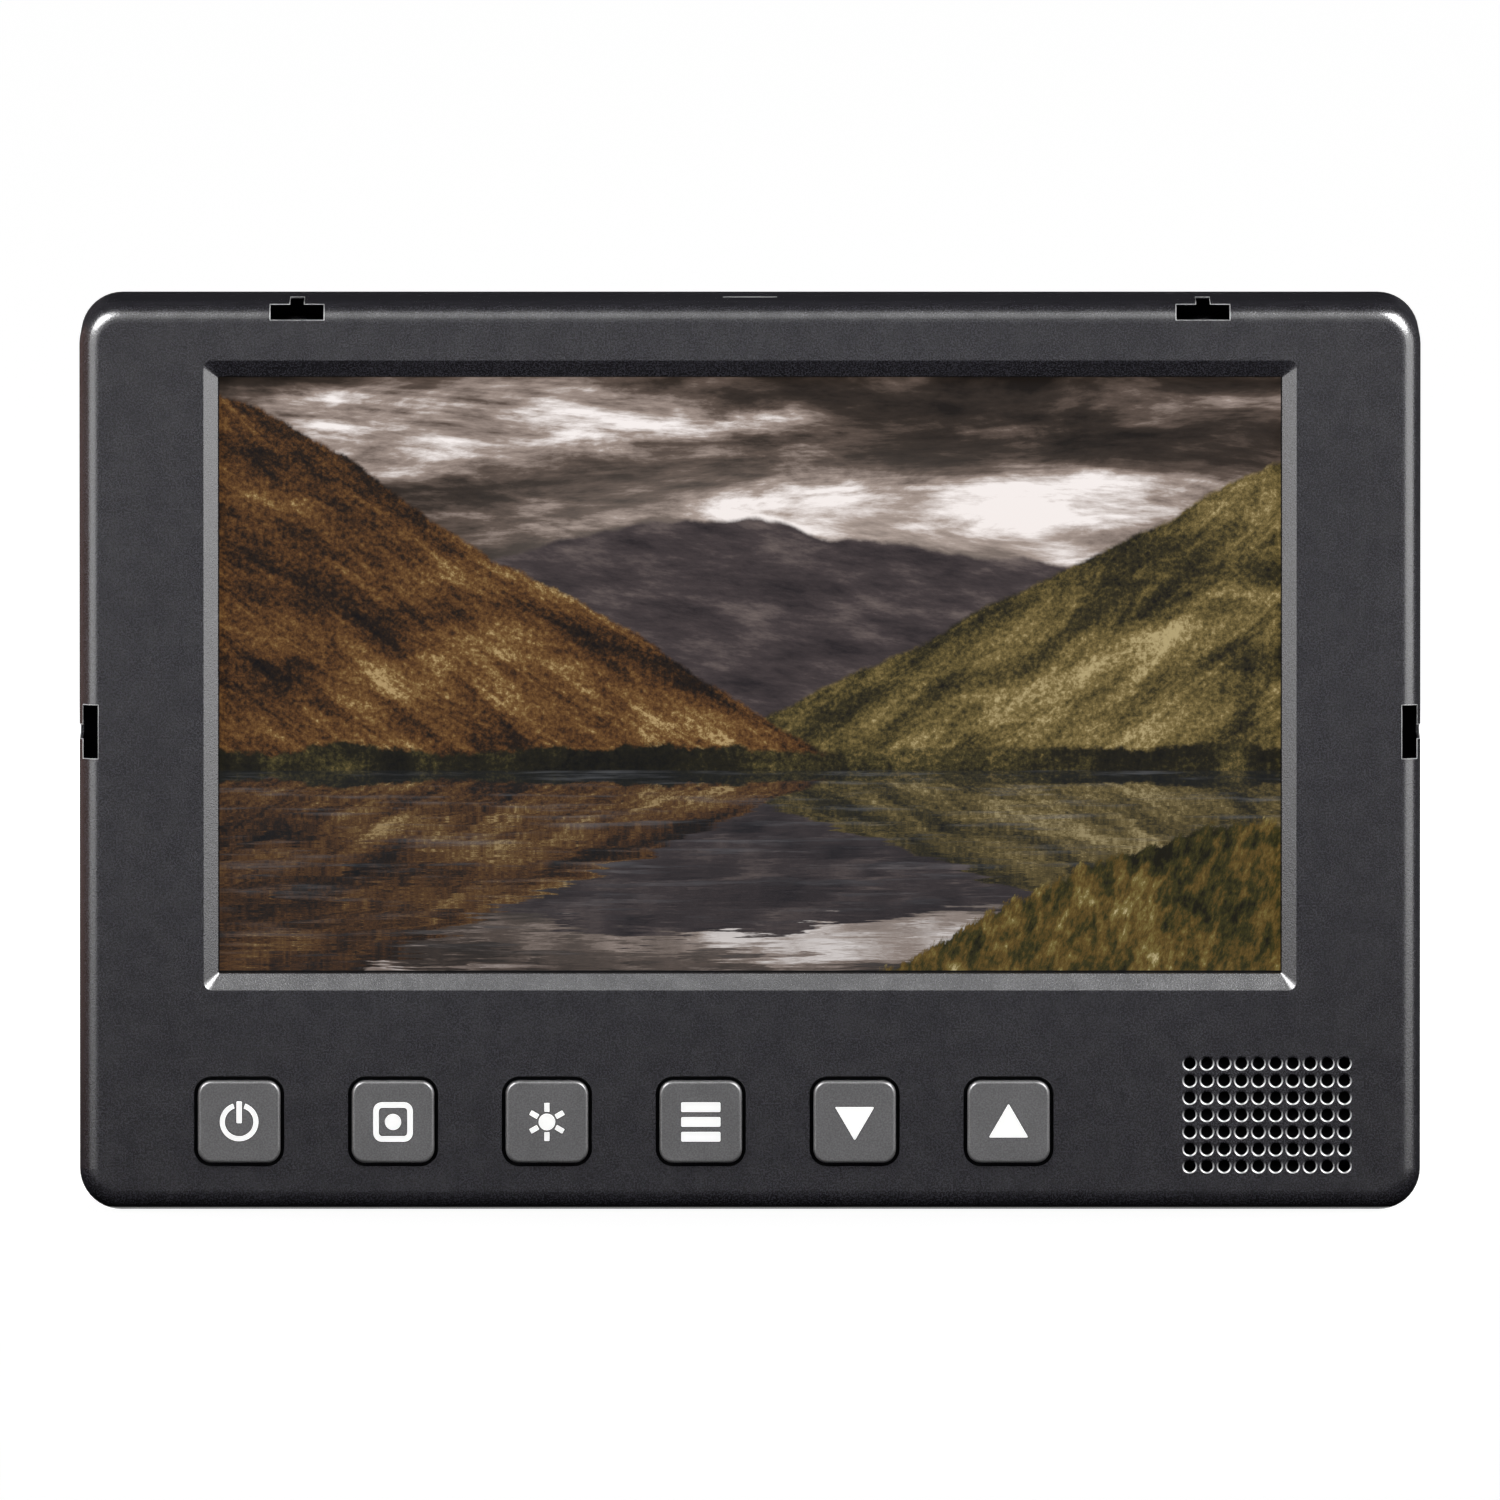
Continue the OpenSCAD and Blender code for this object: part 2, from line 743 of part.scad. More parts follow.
module board_screws() {
  color("#c4c6c8") for (p = board_points)
    screw(p, board_back, board_head_r, board_head_t, board_shank_r, board_shank_l);
}

// Extrudes an outline drawn from the main board's middle, between two heights behind the board
module board_slice(from, to) {
  slice(board_back + from, board_back + to) translate([0, window_z]) children();
}

// Flat package with a comb of leads down to the board on all four sides
module chip(at, side, high) {
  pins = floor(side / chip_lead_pitch) - 1;
  board_slice(0, chip_lead_t) for (a = [0 : 90 : 270], i = [0 : pins - 1])
    translate(at) rotate(a) translate([side / 2 + chip_lead_out, (i - (pins - 1) / 2) * chip_lead_pitch])
    square(chip_lead, center = true);
  board_slice(chip_lift, high) translate(at) rounded_rect(side, side, chip_r);
}

module video_chips() {
  color("#17181a") {
    chip(decoder_at, decoder_side, decoder_h);
    chip(memory_at, memory_side, memory_h);
  }
}

module capacitors() {
  color("#2c3f6b") for (i = [0 : capacitor_count - 1]) {
    at = capacitor_at + [i * capacitor_pitch, 0];
    board_slice(0, capacitor_h) translate(at) circle(capacitor_r);
    board_slice(0, capacitor_foot_t) translate(at)
      rounded_rect(capacitor_foot, capacitor_foot, capacitor_foot_r);
  }
}

// Drum choke: square flanges about a round winding
module power_inductor() {
  color("#3d3d40") {
    board_slice(0, choke_foot_t) translate(choke_at) rounded_rect(choke_side, choke_side, choke_side_r);
    board_slice(0, choke_h) translate(choke_at) circle(choke_r);
    board_slice(choke_h - choke_top_t, choke_h) translate(choke_at)
      rounded_rect(choke_side, choke_side, choke_side_r);
  }
}

// Tinned lid over the video input, open towards the board, with cooling holes
module shield_can() {
  color("#b6b8ba") difference() {
    board_slice(0, can_deep) translate(can_at) rounded_rect(can_w, can_h, can_r);
    board_slice(-over, can_deep - can_skin) translate(can_at)
      square([can_w - 2 * can_skin, can_h - 2 * can_skin], center = true);
    board_slice(0, can_deep + over) for (i = [-1, 0, 1], j = [-1, 1])
      translate(can_at + [i * can_hole_x, j * can_hole_z]) circle(can_hole_r);
  }
}

// Socket for a ribbon of a width, drawn about the ribbon's middle with its foot at the origin
module ribbon_socket(w) {
  translate([-w / 2 - connector_side, 0]) square([w + 2 * connector_side, connector_h]);
}

// Sockets on the main board for the screen ribbon, the key ribbon and the loudspeaker leads
module board_connectors() {
  color("#e6e2d3") {
    board_slice(0, connector_deep) translate([0, connector_up - board_end]) ribbon_socket(ribbon_w);
    board_slice(0, connector_deep) translate([key_ribbon_x, connector_up - board_end])
      ribbon_socket(key_ribbon_w);
    board_slice(0, lead_plug_deep) translate([lead_x - lead_plug_w / 2, lead_plug_up - board_end])
      square([lead_plug_w, lead_plug_h]);
  }
}

// Black block on the board whose collar reaches through the rear cover
module socket_housing() {
  p = [socket_x, socket_z];
  color("#1b1b1d") difference() {
    union() {
      slice(board_back, socket_floor - socket_step) translate(p)
        rounded_rect(socket_block, socket_block, socket_block_r);
      peg(p, board_back, back_d, socket_collar);
    }
    peg(p, socket_floor, back_d + over, socket_bore);
    peg(p, socket_floor - insert_t, socket_floor + over, socket_bore - socket_step);
    for (c = contact_points) peg(c, board_back - over, socket_floor, contact_tail + pin_gap);
  }
}

// Insulator at the foot of the socket, drilled for the contacts
module socket_insert() {
  p = [socket_x, socket_z];
  color("#3a3a3c") difference() {
    peg(p, socket_floor - insert_t, socket_floor, socket_bore - socket_step - pin_gap);
    for (c = contact_points) peg(c, socket_floor - insert_t - over, socket_floor + over, contact_r + pin_gap);
  }
}

// Sleeves that take the plug's pins, each with a solder tail through the board
module socket_contacts() {
  color("#c9a24b") for (c = contact_points) difference() {
    union() {
      peg(c, socket_floor - insert_t, socket_floor, contact_r);
      peg(c, board_d - embed, socket_floor - contact_deep, contact_tail);
    }
    peg(c, socket_floor - contact_deep, socket_floor + over, contact_bore);
  }
}

// Quarter bend of a ribbon about the origin, from +x to +y
module bend(r) {
  intersection() {
    difference() {
      circle(r + ribbon_t / 2);
      circle(r - ribbon_t / 2);
    }
    square(r + ribbon_t);
  }
}

// Ribbon of a width at x whose side outline, depth across and height up, is given
module ribbon(x, w) {
  translate([x - w / 2, face_y, 0]) rotate([90, 0, 90]) linear_extrude(w) children();
}

// Ribbon from the glass, round under the module and up to the main board
module lcd_ribbon() {
  top_z = window_z - inner_h / 2;
  low_z = window_z - lcd_h / 2 - lcd_ribbon_drop;
  near = glass_d + glass_t / 2;
  far = board_back + ribbon_stand;
  end_z = window_z - board_end + connector_up;
  color("#c07a2c") ribbon(0, ribbon_w) {
    translate([near - ribbon_t / 2, low_z + ribbon_bend]) square([ribbon_t, top_z - low_z - ribbon_bend]);
    translate([near + ribbon_bend, low_z + ribbon_bend]) rotate(180) bend(ribbon_bend);
    translate([near + ribbon_bend, low_z - ribbon_t / 2]) square([far - near - 2 * ribbon_bend, ribbon_t]);
    translate([far - ribbon_bend, low_z + ribbon_bend]) rotate(-90) bend(ribbon_bend);
    translate([far - ribbon_t / 2, low_z + ribbon_bend]) square([ribbon_t, end_z - low_z - ribbon_bend]);
  }
}

// Ribbon from the key board's socket back and up to the main board
module key_ribbon() {
  start_z = key_z + key_connector_up;
  near = key_board_d + key_board_t + ribbon_stand;
  far = board_back + ribbon_stand;
  mid_z = window_z - lcd_h / 2 - key_ribbon_drop;
  end_z = window_z - board_end + connector_up;
  color("#d8d8d2") ribbon(key_ribbon_x, key_ribbon_w) {
    translate([near - ribbon_t / 2, start_z]) square([ribbon_t, mid_z - ribbon_bend - start_z]);
    translate([near + ribbon_bend, mid_z - ribbon_bend]) rotate(90) bend(ribbon_bend);
    translate([near + ribbon_bend, mid_z - ribbon_t / 2]) square([far - near - 2 * ribbon_bend, ribbon_t]);
    translate([far - ribbon_bend, mid_z + ribbon_bend]) rotate(-90) bend(ribbon_bend);
    translate([far - ribbon_t / 2, mid_z + ribbon_bend]) square([ribbon_t, end_z - mid_z - ribbon_bend]);
  }
}

module key_board() {
  left = key_xs[0] - key_board_end;
  right = key_xs[key_count - 1] + key_board_end;
  color("#1f5a34") difference() {
    slice(key_board_d, key_board_d + key_board_t) translate([(left + right) / 2, key_z])
      rounded_rect(right - left, key_board_h, key_board_r);
    for (p = key_board_points)
      peg(p, key_board_d - over, key_board_d + key_board_t + over, key_shank_r + sheet_gap);
  }
}

// Bodies of the tactile switches, each bored for its plunger
module key_switches() {
  color("#202124") for (x = key_xs) difference() {
    slice(switch_d, key_board_d) translate([x, key_z]) rounded_rect(switch_w, switch_w, switch_r);
    peg([x, key_z], switch_d - over, switch_d + plunger_in + key_travel + sheet_gap, plunger_r + pin_gap);
  }
}

module key_connector() {
  color("#e6e2d3") slice(key_board_d + key_board_t, key_board_d + key_board_t + connector_deep)
    translate([key_ribbon_x, key_z + key_connector_up - connector_h]) ribbon_socket(key_ribbon_w);
}

module key_board_screws() {
  color("#c4c6c8") for (p = key_board_points)
    screw(p, key_board_d + key_board_t, key_head_r, key_head_t, key_shank_r, key_shank_l);
}

// Key cap with the flange that keeps it behind the plate and the foot that meets its switch
module button(i) {
  p = [key_xs[i], key_z];
  flange = key_size + 2 * flange_w;
  color("#68686b") {
    front_slab(p, -key_proud, key_size, key_size, key_r, key_edge, key_proud + plate_t + embed);
    slice(plate_t, plate_t + flange_t) translate(p) rounded_rect(flange, flange, key_r + flange_w);
    peg(p, plate_t, plunger_d, cap_boss_r);
  }
}

// Switch plunger under a key cap
module plunger(i) {
  color("#d9d4c4") peg([key_xs[i], key_z], plunger_d, switch_d + plunger_in, plunger_r);
}

module speaker_cloth() {
  color("#0c0c0d") at_speaker(plate_t) linear_extrude(cloth_t) track(speaker_straight, speaker_r);
}

module speaker_gasket() {
  color("#1a1a1b") at_speaker(plate_t + cloth_t) linear_extrude(speaker_gasket_t) difference() {
    track(speaker_straight, speaker_r);
    track(speaker_straight, speaker_r - speaker_rim);
  }
}

// Open basket: rim, ledge for the surround, and a back with four windows round the motor
module speaker_frame() {
  color("#2b2b2d") at_speaker(speaker_d) difference() {
    linear_extrude(speaker_deep) track(speaker_straight, speaker_r);
    translate([0, 0, -over]) linear_extrude(roll_d + over) track(speaker_straight, speaker_r - speaker_rim);
    translate([0, 0, -over]) linear_extrude(speaker_deep - speaker_rim + over)
      track(speaker_straight, speaker_r - speaker_rim - ledge_w);
    translate([0, 0, -over]) linear_extrude(speaker_deep + 2 * over)
      track(speaker_straight, coil_r + coil_gap + yoke_t + insert_fit);
    for (x = [-1, 1], z = [-1, 1])
      translate([x * (speaker_straight / 2 + basket_hole_x), z * basket_hole_z, -over])
      cylinder(h = speaker_deep + 2 * over, r = basket_hole_r);
  }
}

// Half-round roll whose outer edge lies on the basket's ledge and whose foot lies on the diaphragm
module speaker_surround() {
  mid = speaker_r - speaker_rim - ledge_w - roll_r;
  color("#151516") at_speaker(speaker_d + roll_d) track_sweep(speaker_straight) {
    difference() {
      intersection() {
        translate([mid, 0]) circle(roll_r);
        translate([mid - roll_r, -roll_r]) square([2 * roll_r, roll_r]);
      }
      translate([mid, 0]) circle(roll_r - roll_t);
    }
    translate([mid + roll_r - roll_t, -roll_t]) square([ledge_w + roll_t - sheet_gap, roll_t]);
    translate([mid - roll_r - foot_w, -roll_t]) square([foot_w + roll_t, roll_t]);
  }
}

// Stiff racetrack diaphragm behind the roll's foot, with a raised middle
module speaker_diaphragm() {
  edge = speaker_r - speaker_rim - ledge_w - 2 * roll_r;
  color("#3f3f42") at_speaker(speaker_d + roll_d) {
    linear_extrude(cone_t) track(speaker_straight, edge);
    translate([0, 0, -cone_t]) linear_extrude(2 * cone_t) track(speaker_straight, edge - foot_w - cone_gap);
  }
}

module voice_coil() {
  color("#b06a35") at_speaker(speaker_d + roll_d + cone_t) linear_extrude(coil_l) difference() {
    track(speaker_straight, coil_r);
    track(speaker_straight, coil_r - coil_t);
  }
}

// Steel cup round the coil, its flanged floor against the back of the basket
module speaker_yoke() {
  cup = coil_r + coil_gap + yoke_t;
  color("#8d8f92") at_speaker(speaker_d + speaker_deep + yoke_t - yoke_l) difference() {
    union() {
      linear_extrude(yoke_l) track(speaker_straight, cup);
      translate([0, 0, yoke_l - yoke_t]) linear_extrude(yoke_t) track(speaker_straight, cup + yoke_flange);
    }
    translate([0, 0, -over]) linear_extrude(yoke_l - yoke_t + over) track(speaker_straight, cup - yoke_t);
  }
}

// Magnet with its pole plate, standing inside the coil on the yoke's floor
module speaker_magnet() {
  floor_d = speaker_d + speaker_deep;
  color("#55575a") at_speaker(floor_d - yoke_l + yoke_t) linear_extrude(yoke_l - yoke_t)
    track(speaker_straight, coil_r - coil_t - coil_gap);
}

// Spring-steel strap over the yoke, screwed to two posts
module speaker_clamp() {
  color("#a4a7aa") difference() {
    slice(clamp_d, clamp_d + clamp_t) translate([speaker_x, speaker_z]) track(2 * clamp_x, clamp_w / 2);
    for (p = speaker_points) peg(p, clamp_d - over, clamp_d + clamp_t + over, key_shank_r + sheet_gap);
  }
}

module speaker_screws() {
  color("#c4c6c8") for (p = speaker_points)
    screw(p, clamp_d + clamp_t, key_head_r, key_head_t, key_shank_r, key_shank_l);
}

// Round wire along X, Y or Z from a point
module wire(p, turn, length) {
  translate(p) rotate(turn) cylinder(h = length, r = lead_r);
}

// Quarter turn of a round wire about a point, in the plane that a rotation gives
module wire_bend(p, turn) {
  translate(p) rotate(turn) rotate_extrude(angle = 90) translate([lead_bend, 0]) circle(lead_r);
}

// Two leads from the back of the loudspeaker's basket across and up to the main board
module speaker_leads() {
  start_d = speaker_d + speaker_deep;
  run_d = board_back + lead_stand;
  start_x = speaker_x - lead_start[0];
  end_z = window_z - board_end + lead_plug_up;
  color("#8c2f2a") for (s = [-1, 1]) {
    run_z = speaker_z + lead_start[1] + s * lead_gap / 2;
    end_x = lead_x + s * lead_gap / 2;
    wire([start_x, face_y + start_d, run_z], [-90, 0, 0], run_d - lead_bend - start_d);
    wire_bend([start_x - lead_bend, face_y + run_d - lead_bend, run_z], [0, 0, 0]);
    wire([start_x - lead_bend, face_y + run_d, run_z], [0, -90, 0], start_x - end_x - 2 * lead_bend);
    wire_bend([end_x + lead_bend, face_y + run_d, run_z + lead_bend], [90, 180, 0]);
    wire([end_x, face_y + run_d, run_z + lead_bend], [0, 0, 0], end_z - run_z - lead_bend);
  }
}

front_housing();
rear_cover();
case_screws();
mount_inserts();
screen_gasket();
lcd_frame();
lcd_glass();
diffuser_sheet();
light_guide();
led_strip();
lcd_tray();
chassis_plate();
chassis_screws();
board_standoffs();
main_board();
board_screws();
video_chips();
capacitors();
power_inductor();
shield_can();
board_connectors();
socket_housing();
socket_insert();
socket_contacts();
lcd_ribbon();
key_ribbon();
key_board();
key_switches();
key_connector();
key_board_screws();
button(0);  // power_button
button(1);  // camera_button
button(2);  // brightness_button
button(3);  // menu_button
button(4);  // down_button
button(5);  // up_button
plunger(0);  // power_plunger
plunger(1);  // camera_plunger
plunger(2);  // brightness_plunger
plunger(3);  // menu_plunger
plunger(4);  // down_plunger
plunger(5);  // up_plunger
speaker_cloth();
speaker_gasket();
speaker_frame();
speaker_surround();
speaker_diaphragm();
voice_coil();
speaker_yoke();
speaker_magnet();
speaker_clamp();
speaker_screws();
speaker_leads();
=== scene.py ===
import json
import math
from collections import namedtuple

import bmesh
import bpy
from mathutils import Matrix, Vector


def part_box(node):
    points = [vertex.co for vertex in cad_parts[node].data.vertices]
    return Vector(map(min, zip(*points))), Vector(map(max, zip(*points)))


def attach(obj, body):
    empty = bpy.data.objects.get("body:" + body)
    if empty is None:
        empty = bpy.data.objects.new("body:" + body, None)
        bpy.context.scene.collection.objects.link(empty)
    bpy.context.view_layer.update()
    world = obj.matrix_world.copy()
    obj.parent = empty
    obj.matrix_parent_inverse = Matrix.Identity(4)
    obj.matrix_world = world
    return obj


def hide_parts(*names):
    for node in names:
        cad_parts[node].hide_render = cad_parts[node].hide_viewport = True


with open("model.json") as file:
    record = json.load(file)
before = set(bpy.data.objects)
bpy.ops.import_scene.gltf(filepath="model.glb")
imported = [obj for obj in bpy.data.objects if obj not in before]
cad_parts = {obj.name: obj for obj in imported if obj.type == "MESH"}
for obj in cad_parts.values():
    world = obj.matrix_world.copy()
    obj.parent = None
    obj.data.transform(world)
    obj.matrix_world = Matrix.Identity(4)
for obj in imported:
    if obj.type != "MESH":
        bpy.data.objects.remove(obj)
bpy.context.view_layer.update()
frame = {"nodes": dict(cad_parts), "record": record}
NODES = frame["nodes"]
MM = 0.001


# Camera: level with the screen, a little above it, through a long lens
IMAGE_PX = 1500
MM_PER_PX = 0.14422
CAMERA_RANGE = 8.5
CAMERA_RISE = math.radians(3.91)
CAMERA_CLIP = 200
SENSOR_MM = 36.0
TARGET_Z = 66.60 * MM
face_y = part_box("front_housing")[0].y
TARGET = Vector((0, face_y, TARGET_Z))


def add_camera():
    data = bpy.data.cameras.new("camera")
    data.sensor_width = SENSOR_MM
    data.lens = SENSOR_MM * CAMERA_RANGE / (IMAGE_PX * MM_PER_PX * MM)
    data.clip_end = CAMERA_CLIP
    camera = bpy.data.objects.new("camera", data)
    back = Vector((0, -math.cos(CAMERA_RISE), math.sin(CAMERA_RISE)))
    camera.location = TARGET + back * CAMERA_RANGE
    camera.rotation_euler = (-back).to_track_quat("-Z", "Y").to_euler()
    bpy.context.scene.collection.objects.link(camera)
    bpy.context.scene.camera = camera


def rgba(color):
    return tuple(color[:3]) + (1.0,)


def tinted(color, factor):
    return rgba([c * factor for c in color[:3]])


# Places of the colour sockets on a mix node, and of its number sockets
MIX_COLOR_A, MIX_COLOR_B, MIX_COLOR_OUT = 6, 7, 2
MIX_FLOAT_A, MIX_FLOAT_B = 2, 3


class Tree:
    """Builds a node tree, with sockets or plain numbers as inputs."""

    def __init__(self, name, owner=None):
        self.owner = owner or bpy.data.materials.new(name)
        self.owner.use_nodes = True
        self.tree = self.owner.node_tree
        self.tree.nodes.clear()

    def add(self, kind, **props):
        node = self.tree.nodes.new(kind)
        for key, value in props.items():
            setattr(node, key, value)
        return node

    def put(self, socket, value):
        if isinstance(value, bpy.types.NodeSocket):
            self.tree.links.new(value, socket)
        else:
            socket.default_value = value

    def math(self, operation, a, b=0.0, c=0.0):
        node = self.add("ShaderNodeMath", operation=operation)
        for socket, value in zip(node.inputs, (a, b, c)):
            self.put(socket, value)
        return node.outputs[0]

    def weighted(self, *pairs):
        """Sum of values times weights, from (value, weight) pairs."""
        value, weight = pairs[-1]
        total = self.math("MULTIPLY", value, weight)
        for value, weight in reversed(pairs[:-1]):
            total = self.math("MULTIPLY_ADD", value, weight, total)
        return total

    def centred(self, noise, reach):
        """Noise from 0 to 1, spread from -reach to reach."""
        return self.math("MULTIPLY_ADD", noise, 2 * reach, -reach)

    def fit(self, value, low, high, to_low=0.0, to_high=1.0, smooth=True):
        kind = "SMOOTHSTEP" if smooth else "LINEAR"
        node = self.add("ShaderNodeMapRange", interpolation_type=kind)
        for socket, v in zip(node.inputs, (value, low, high, to_low, to_high)):
            self.put(socket, v)
        return node.outputs[0]

    def mix(self, factor, a, b, blend="MIX"):
        node = self.add("ShaderNodeMix", data_type="RGBA", blend_type=blend)
        self.put(node.inputs[0], factor)
        self.put(node.inputs[MIX_COLOR_A], a)
        self.put(node.inputs[MIX_COLOR_B], b)
        return node.outputs[MIX_COLOR_OUT]

    def mix_numbers(self, factor, a, b):
        node = self.add("ShaderNodeMix", data_type="FLOAT")
        self.put(node.inputs[0], factor)
        self.put(node.inputs[MIX_FLOAT_A], a)
        self.put(node.inputs[MIX_FLOAT_B], b)
        return node.outputs[0]

    def ramp(self, factor, stops):
        node = self.add("ShaderNodeValToRGB")
        elements = node.color_ramp.elements
        while len(elements) < len(stops):
            elements.new(0.5)
        for element, (at, color) in zip(elements, stops):
            element.position = at
            element.color = rgba(color)
        self.put(node.inputs[0], factor)
        return node.outputs[0]

    def noise(self, vector, scale, detail=2.0, roughness=0.5, distortion=0.0):
        node = self.add("ShaderNodeTexNoise")
        self.put(node.inputs["Vector"], vector)
        self.put(node.inputs["Scale"], scale)
        self.put(node.inputs["Detail"], detail)
        self.put(node.inputs["Roughness"], roughness)
        self.put(node.inputs["Distortion"], distortion)
        return node.outputs["Fac"]

    def cells(self, vector, scale):
        """Distance to the nearest of scattered points."""
        node = self.add("ShaderNodeTexVoronoi")
        self.put(node.inputs["Vector"], vector)
        self.put(node.inputs["Scale"], scale)
        return node.outputs["Distance"]

    def zigzag(self, value, pitch):
        """Up and down between 0 and 0.5 along a length."""
        return self.math("PINGPONG", self.math("DIVIDE", value, pitch), 0.5)

    def xyz(self, x, y, z):
        node = self.add("ShaderNodeCombineXYZ")
        for socket, value in zip(node.inputs, (x, y, z)):
            self.put(socket, value)
        return node.outputs[0]

    def stretched(self, u, v, scale_u, scale_v, seed):
        return self.xyz(self.math("MULTIPLY", u, scale_u), self.math("MULTIPLY", v, scale_v), seed)

    def split(self, vector):
        node = self.add("ShaderNodeSeparateXYZ")
        self.put(node.inputs[0], vector)
        return node.outputs

    def scaled(self, vector, x, y, z):
        node = self.add("ShaderNodeVectorMath", operation="MULTIPLY")
        self.put(node.inputs[0], vector)
        self.put(node.inputs[1], (x, y, z))
        return node.outputs[0]

    def place(self):
        return self.add("ShaderNodeTexCoord").outputs["Object"]

    def rounded(self, radius, samples=6):
        node = self.add("ShaderNodeBevel", samples=samples)
        node.inputs["Radius"].default_value = radius
        return node.outputs[0]

    def bump(self, height, depth, normal=None):
        node = self.add("ShaderNodeBump")
        node.inputs["Strength"].default_value = 1.0
        node.inputs["Distance"].default_value = depth
        self.put(node.inputs["Height"], height)
        if normal is not None:
            self.put(node.inputs["Normal"], normal)
        return node.outputs[0]

    def surface(self, **inputs):
        shader = self.add("ShaderNodeBsdfPrincipled")
        for key, value in inputs.items():
            self.put(shader.inputs[key.replace("_", " ")], value)
        return self.out(shader.outputs[0])

    def out(self, shader):
        world = isinstance(self.owner, bpy.types.World)
        kind = "ShaderNodeOutputWorld" if world else "ShaderNodeOutputMaterial"
        self.put(self.add(kind).inputs["Surface"], shader)
        return self.owner


# Materials by slot: each has its own grain, tone and gloss
WHITE = (1.0, 1.0, 1.0)
NARROW, MIDDLING, BROAD = (0.33, 0.67), (0.3, 0.7), (0.25, 0.75)  # ranges noise mostly keeps to
DRIFT_SCALE = 45
GLOSS_SCALE = 320
SHADE_TONE = 0.1
# Pale grey of the painted highlights on the grille lips
LIP_HIGHLIGHT_COLOR = (0.40, 0.40, 0.41)
PATCH_SCALE = 160
TARNISH_SCALE = 220
THREAD_DEPTH = 0.25 * MM
THREAD_EDGE = 0.12 * MM
LANE_PITCH, RUNG_PITCH = 1.6 * MM, 2.1 * MM
ZONE_SCALE = 90
TRACK_DEPTH = 0.03 * MM
BOARD_EDGE = 0.1 * MM
VIA_SCALE = 260
VIA_COLOR = (0.42, 0.36, 0.2)
FOAM_SCALE = 3200
SOFT_DEPTH = 0.05 * MM
WEAVE_PITCH = 0.3 * MM
FILM_SCALE = 900
FILM_DEPTH = 0.002 * MM


def plastic(name, color, roughness, grain=0.3, depth=0.006, contrast=0.15, drift=0.06,
            specular=0.5, edge=0.15, highlighted=None, shaded=None, glow=0.0):
    """Moulded plastic: fine spark-eroded grain, slow drift of tone and gloss, rounded edges.

    Two masks can mark painted light: one where a painted highlight makes it pale, and shaded where
    deep places get painted shade, dark and with almost no gloss.
    glow makes it shine by itself, a painted glow with no lamp behind it."""
    t = Tree(name)
    p = t.place()
    fine = t.noise(p, 1 / (grain * MM), 2.0, 0.6)
    slow = t.noise(p, DRIFT_SCALE, 3.0, 0.55)
    base = t.mix(t.fit(fine, *NARROW), tinted(color, 1 - contrast), tinted(color, 1 + contrast))
    cloudy = t.mix(t.fit(slow, *MIDDLING), tinted(WHITE, 1 - drift), tinted(WHITE, 1 + drift))
    base = t.mix(1.0, base, cloudy, "MULTIPLY")
    gloss = t.noise(p, GLOSS_SCALE, 2.0)
    rough = t.fit(gloss, *MIDDLING, roughness * 0.92, roughness * 1.08)
    # Painted highlight: the marked lips take a pale grey.
    if highlighted:
        base = t.mix(highlighted(t, p), base, rgba(LIP_HIGHLIGHT_COLOR))
    # Painted shade: deep places take a tenth of the colour, and are made metallic so that they
    # give back almost no gloss.
    shade = 0.0
    if shaded:
        shade = shaded(t, p)
        base = t.mix(shade, base, tinted(color, SHADE_TONE))
    normal = t.bump(fine, depth * MM, t.rounded(edge * MM))
    return t.surface(Base_Color=base, Roughness=rough, Normal=normal, Specular_IOR_Level=specular,
                     Metallic=shade, Emission_Color=rgba(color), Emission_Strength=glow)


def metal(name, color, roughness, stretch=(1, 1, 1), grain=0.08, depth=0.002, edge=0.1):
    """Plated or turned metal: drawn-out scratches, a little dulling in patches."""
    t = Tree(name)
    p = t.place()
    lines = t.noise(t.scaled(p, *stretch), 1 / (grain * MM), 3.0, 0.6)
    patch = t.noise(p, PATCH_SCALE, 3.0, 0.6)
    base = t.mix(t.fit(patch, *BROAD), tinted(color, 0.82), tinted(color, 1.06))
    dulling = t.weighted((lines, 0.5), (patch, 0.5))
    rough = t.fit(dulling, *MIDDLING, roughness * 0.75, roughness * 1.3)
    normal = t.bump(lines, depth * MM, t.rounded(edge * MM))
    return t.surface(Base_Color=base, Roughness=rough, Normal=normal, Metallic=1.0)


def threaded(name, color, roughness, pitch):
    """Brass with a turned thread along the depth."""
    t = Tree(name)
    p = t.place()
    turn = t.zigzag(t.split(p)[1], pitch * MM)
    patch = t.noise(p, TARNISH_SCALE, 3.0, 0.6)
    base = t.mix(t.fit(patch, *BROAD), tinted(color, 0.8), tinted(color, 1.08))
    rough = t.fit(patch, *MIDDLING, roughness * 0.8, roughness * 1.25)
    normal = t.bump(turn, THREAD_DEPTH, t.rounded(THREAD_EDGE))
    return t.surface(Base_Color=base, Roughness=rough, Normal=normal, Metallic=1.0)


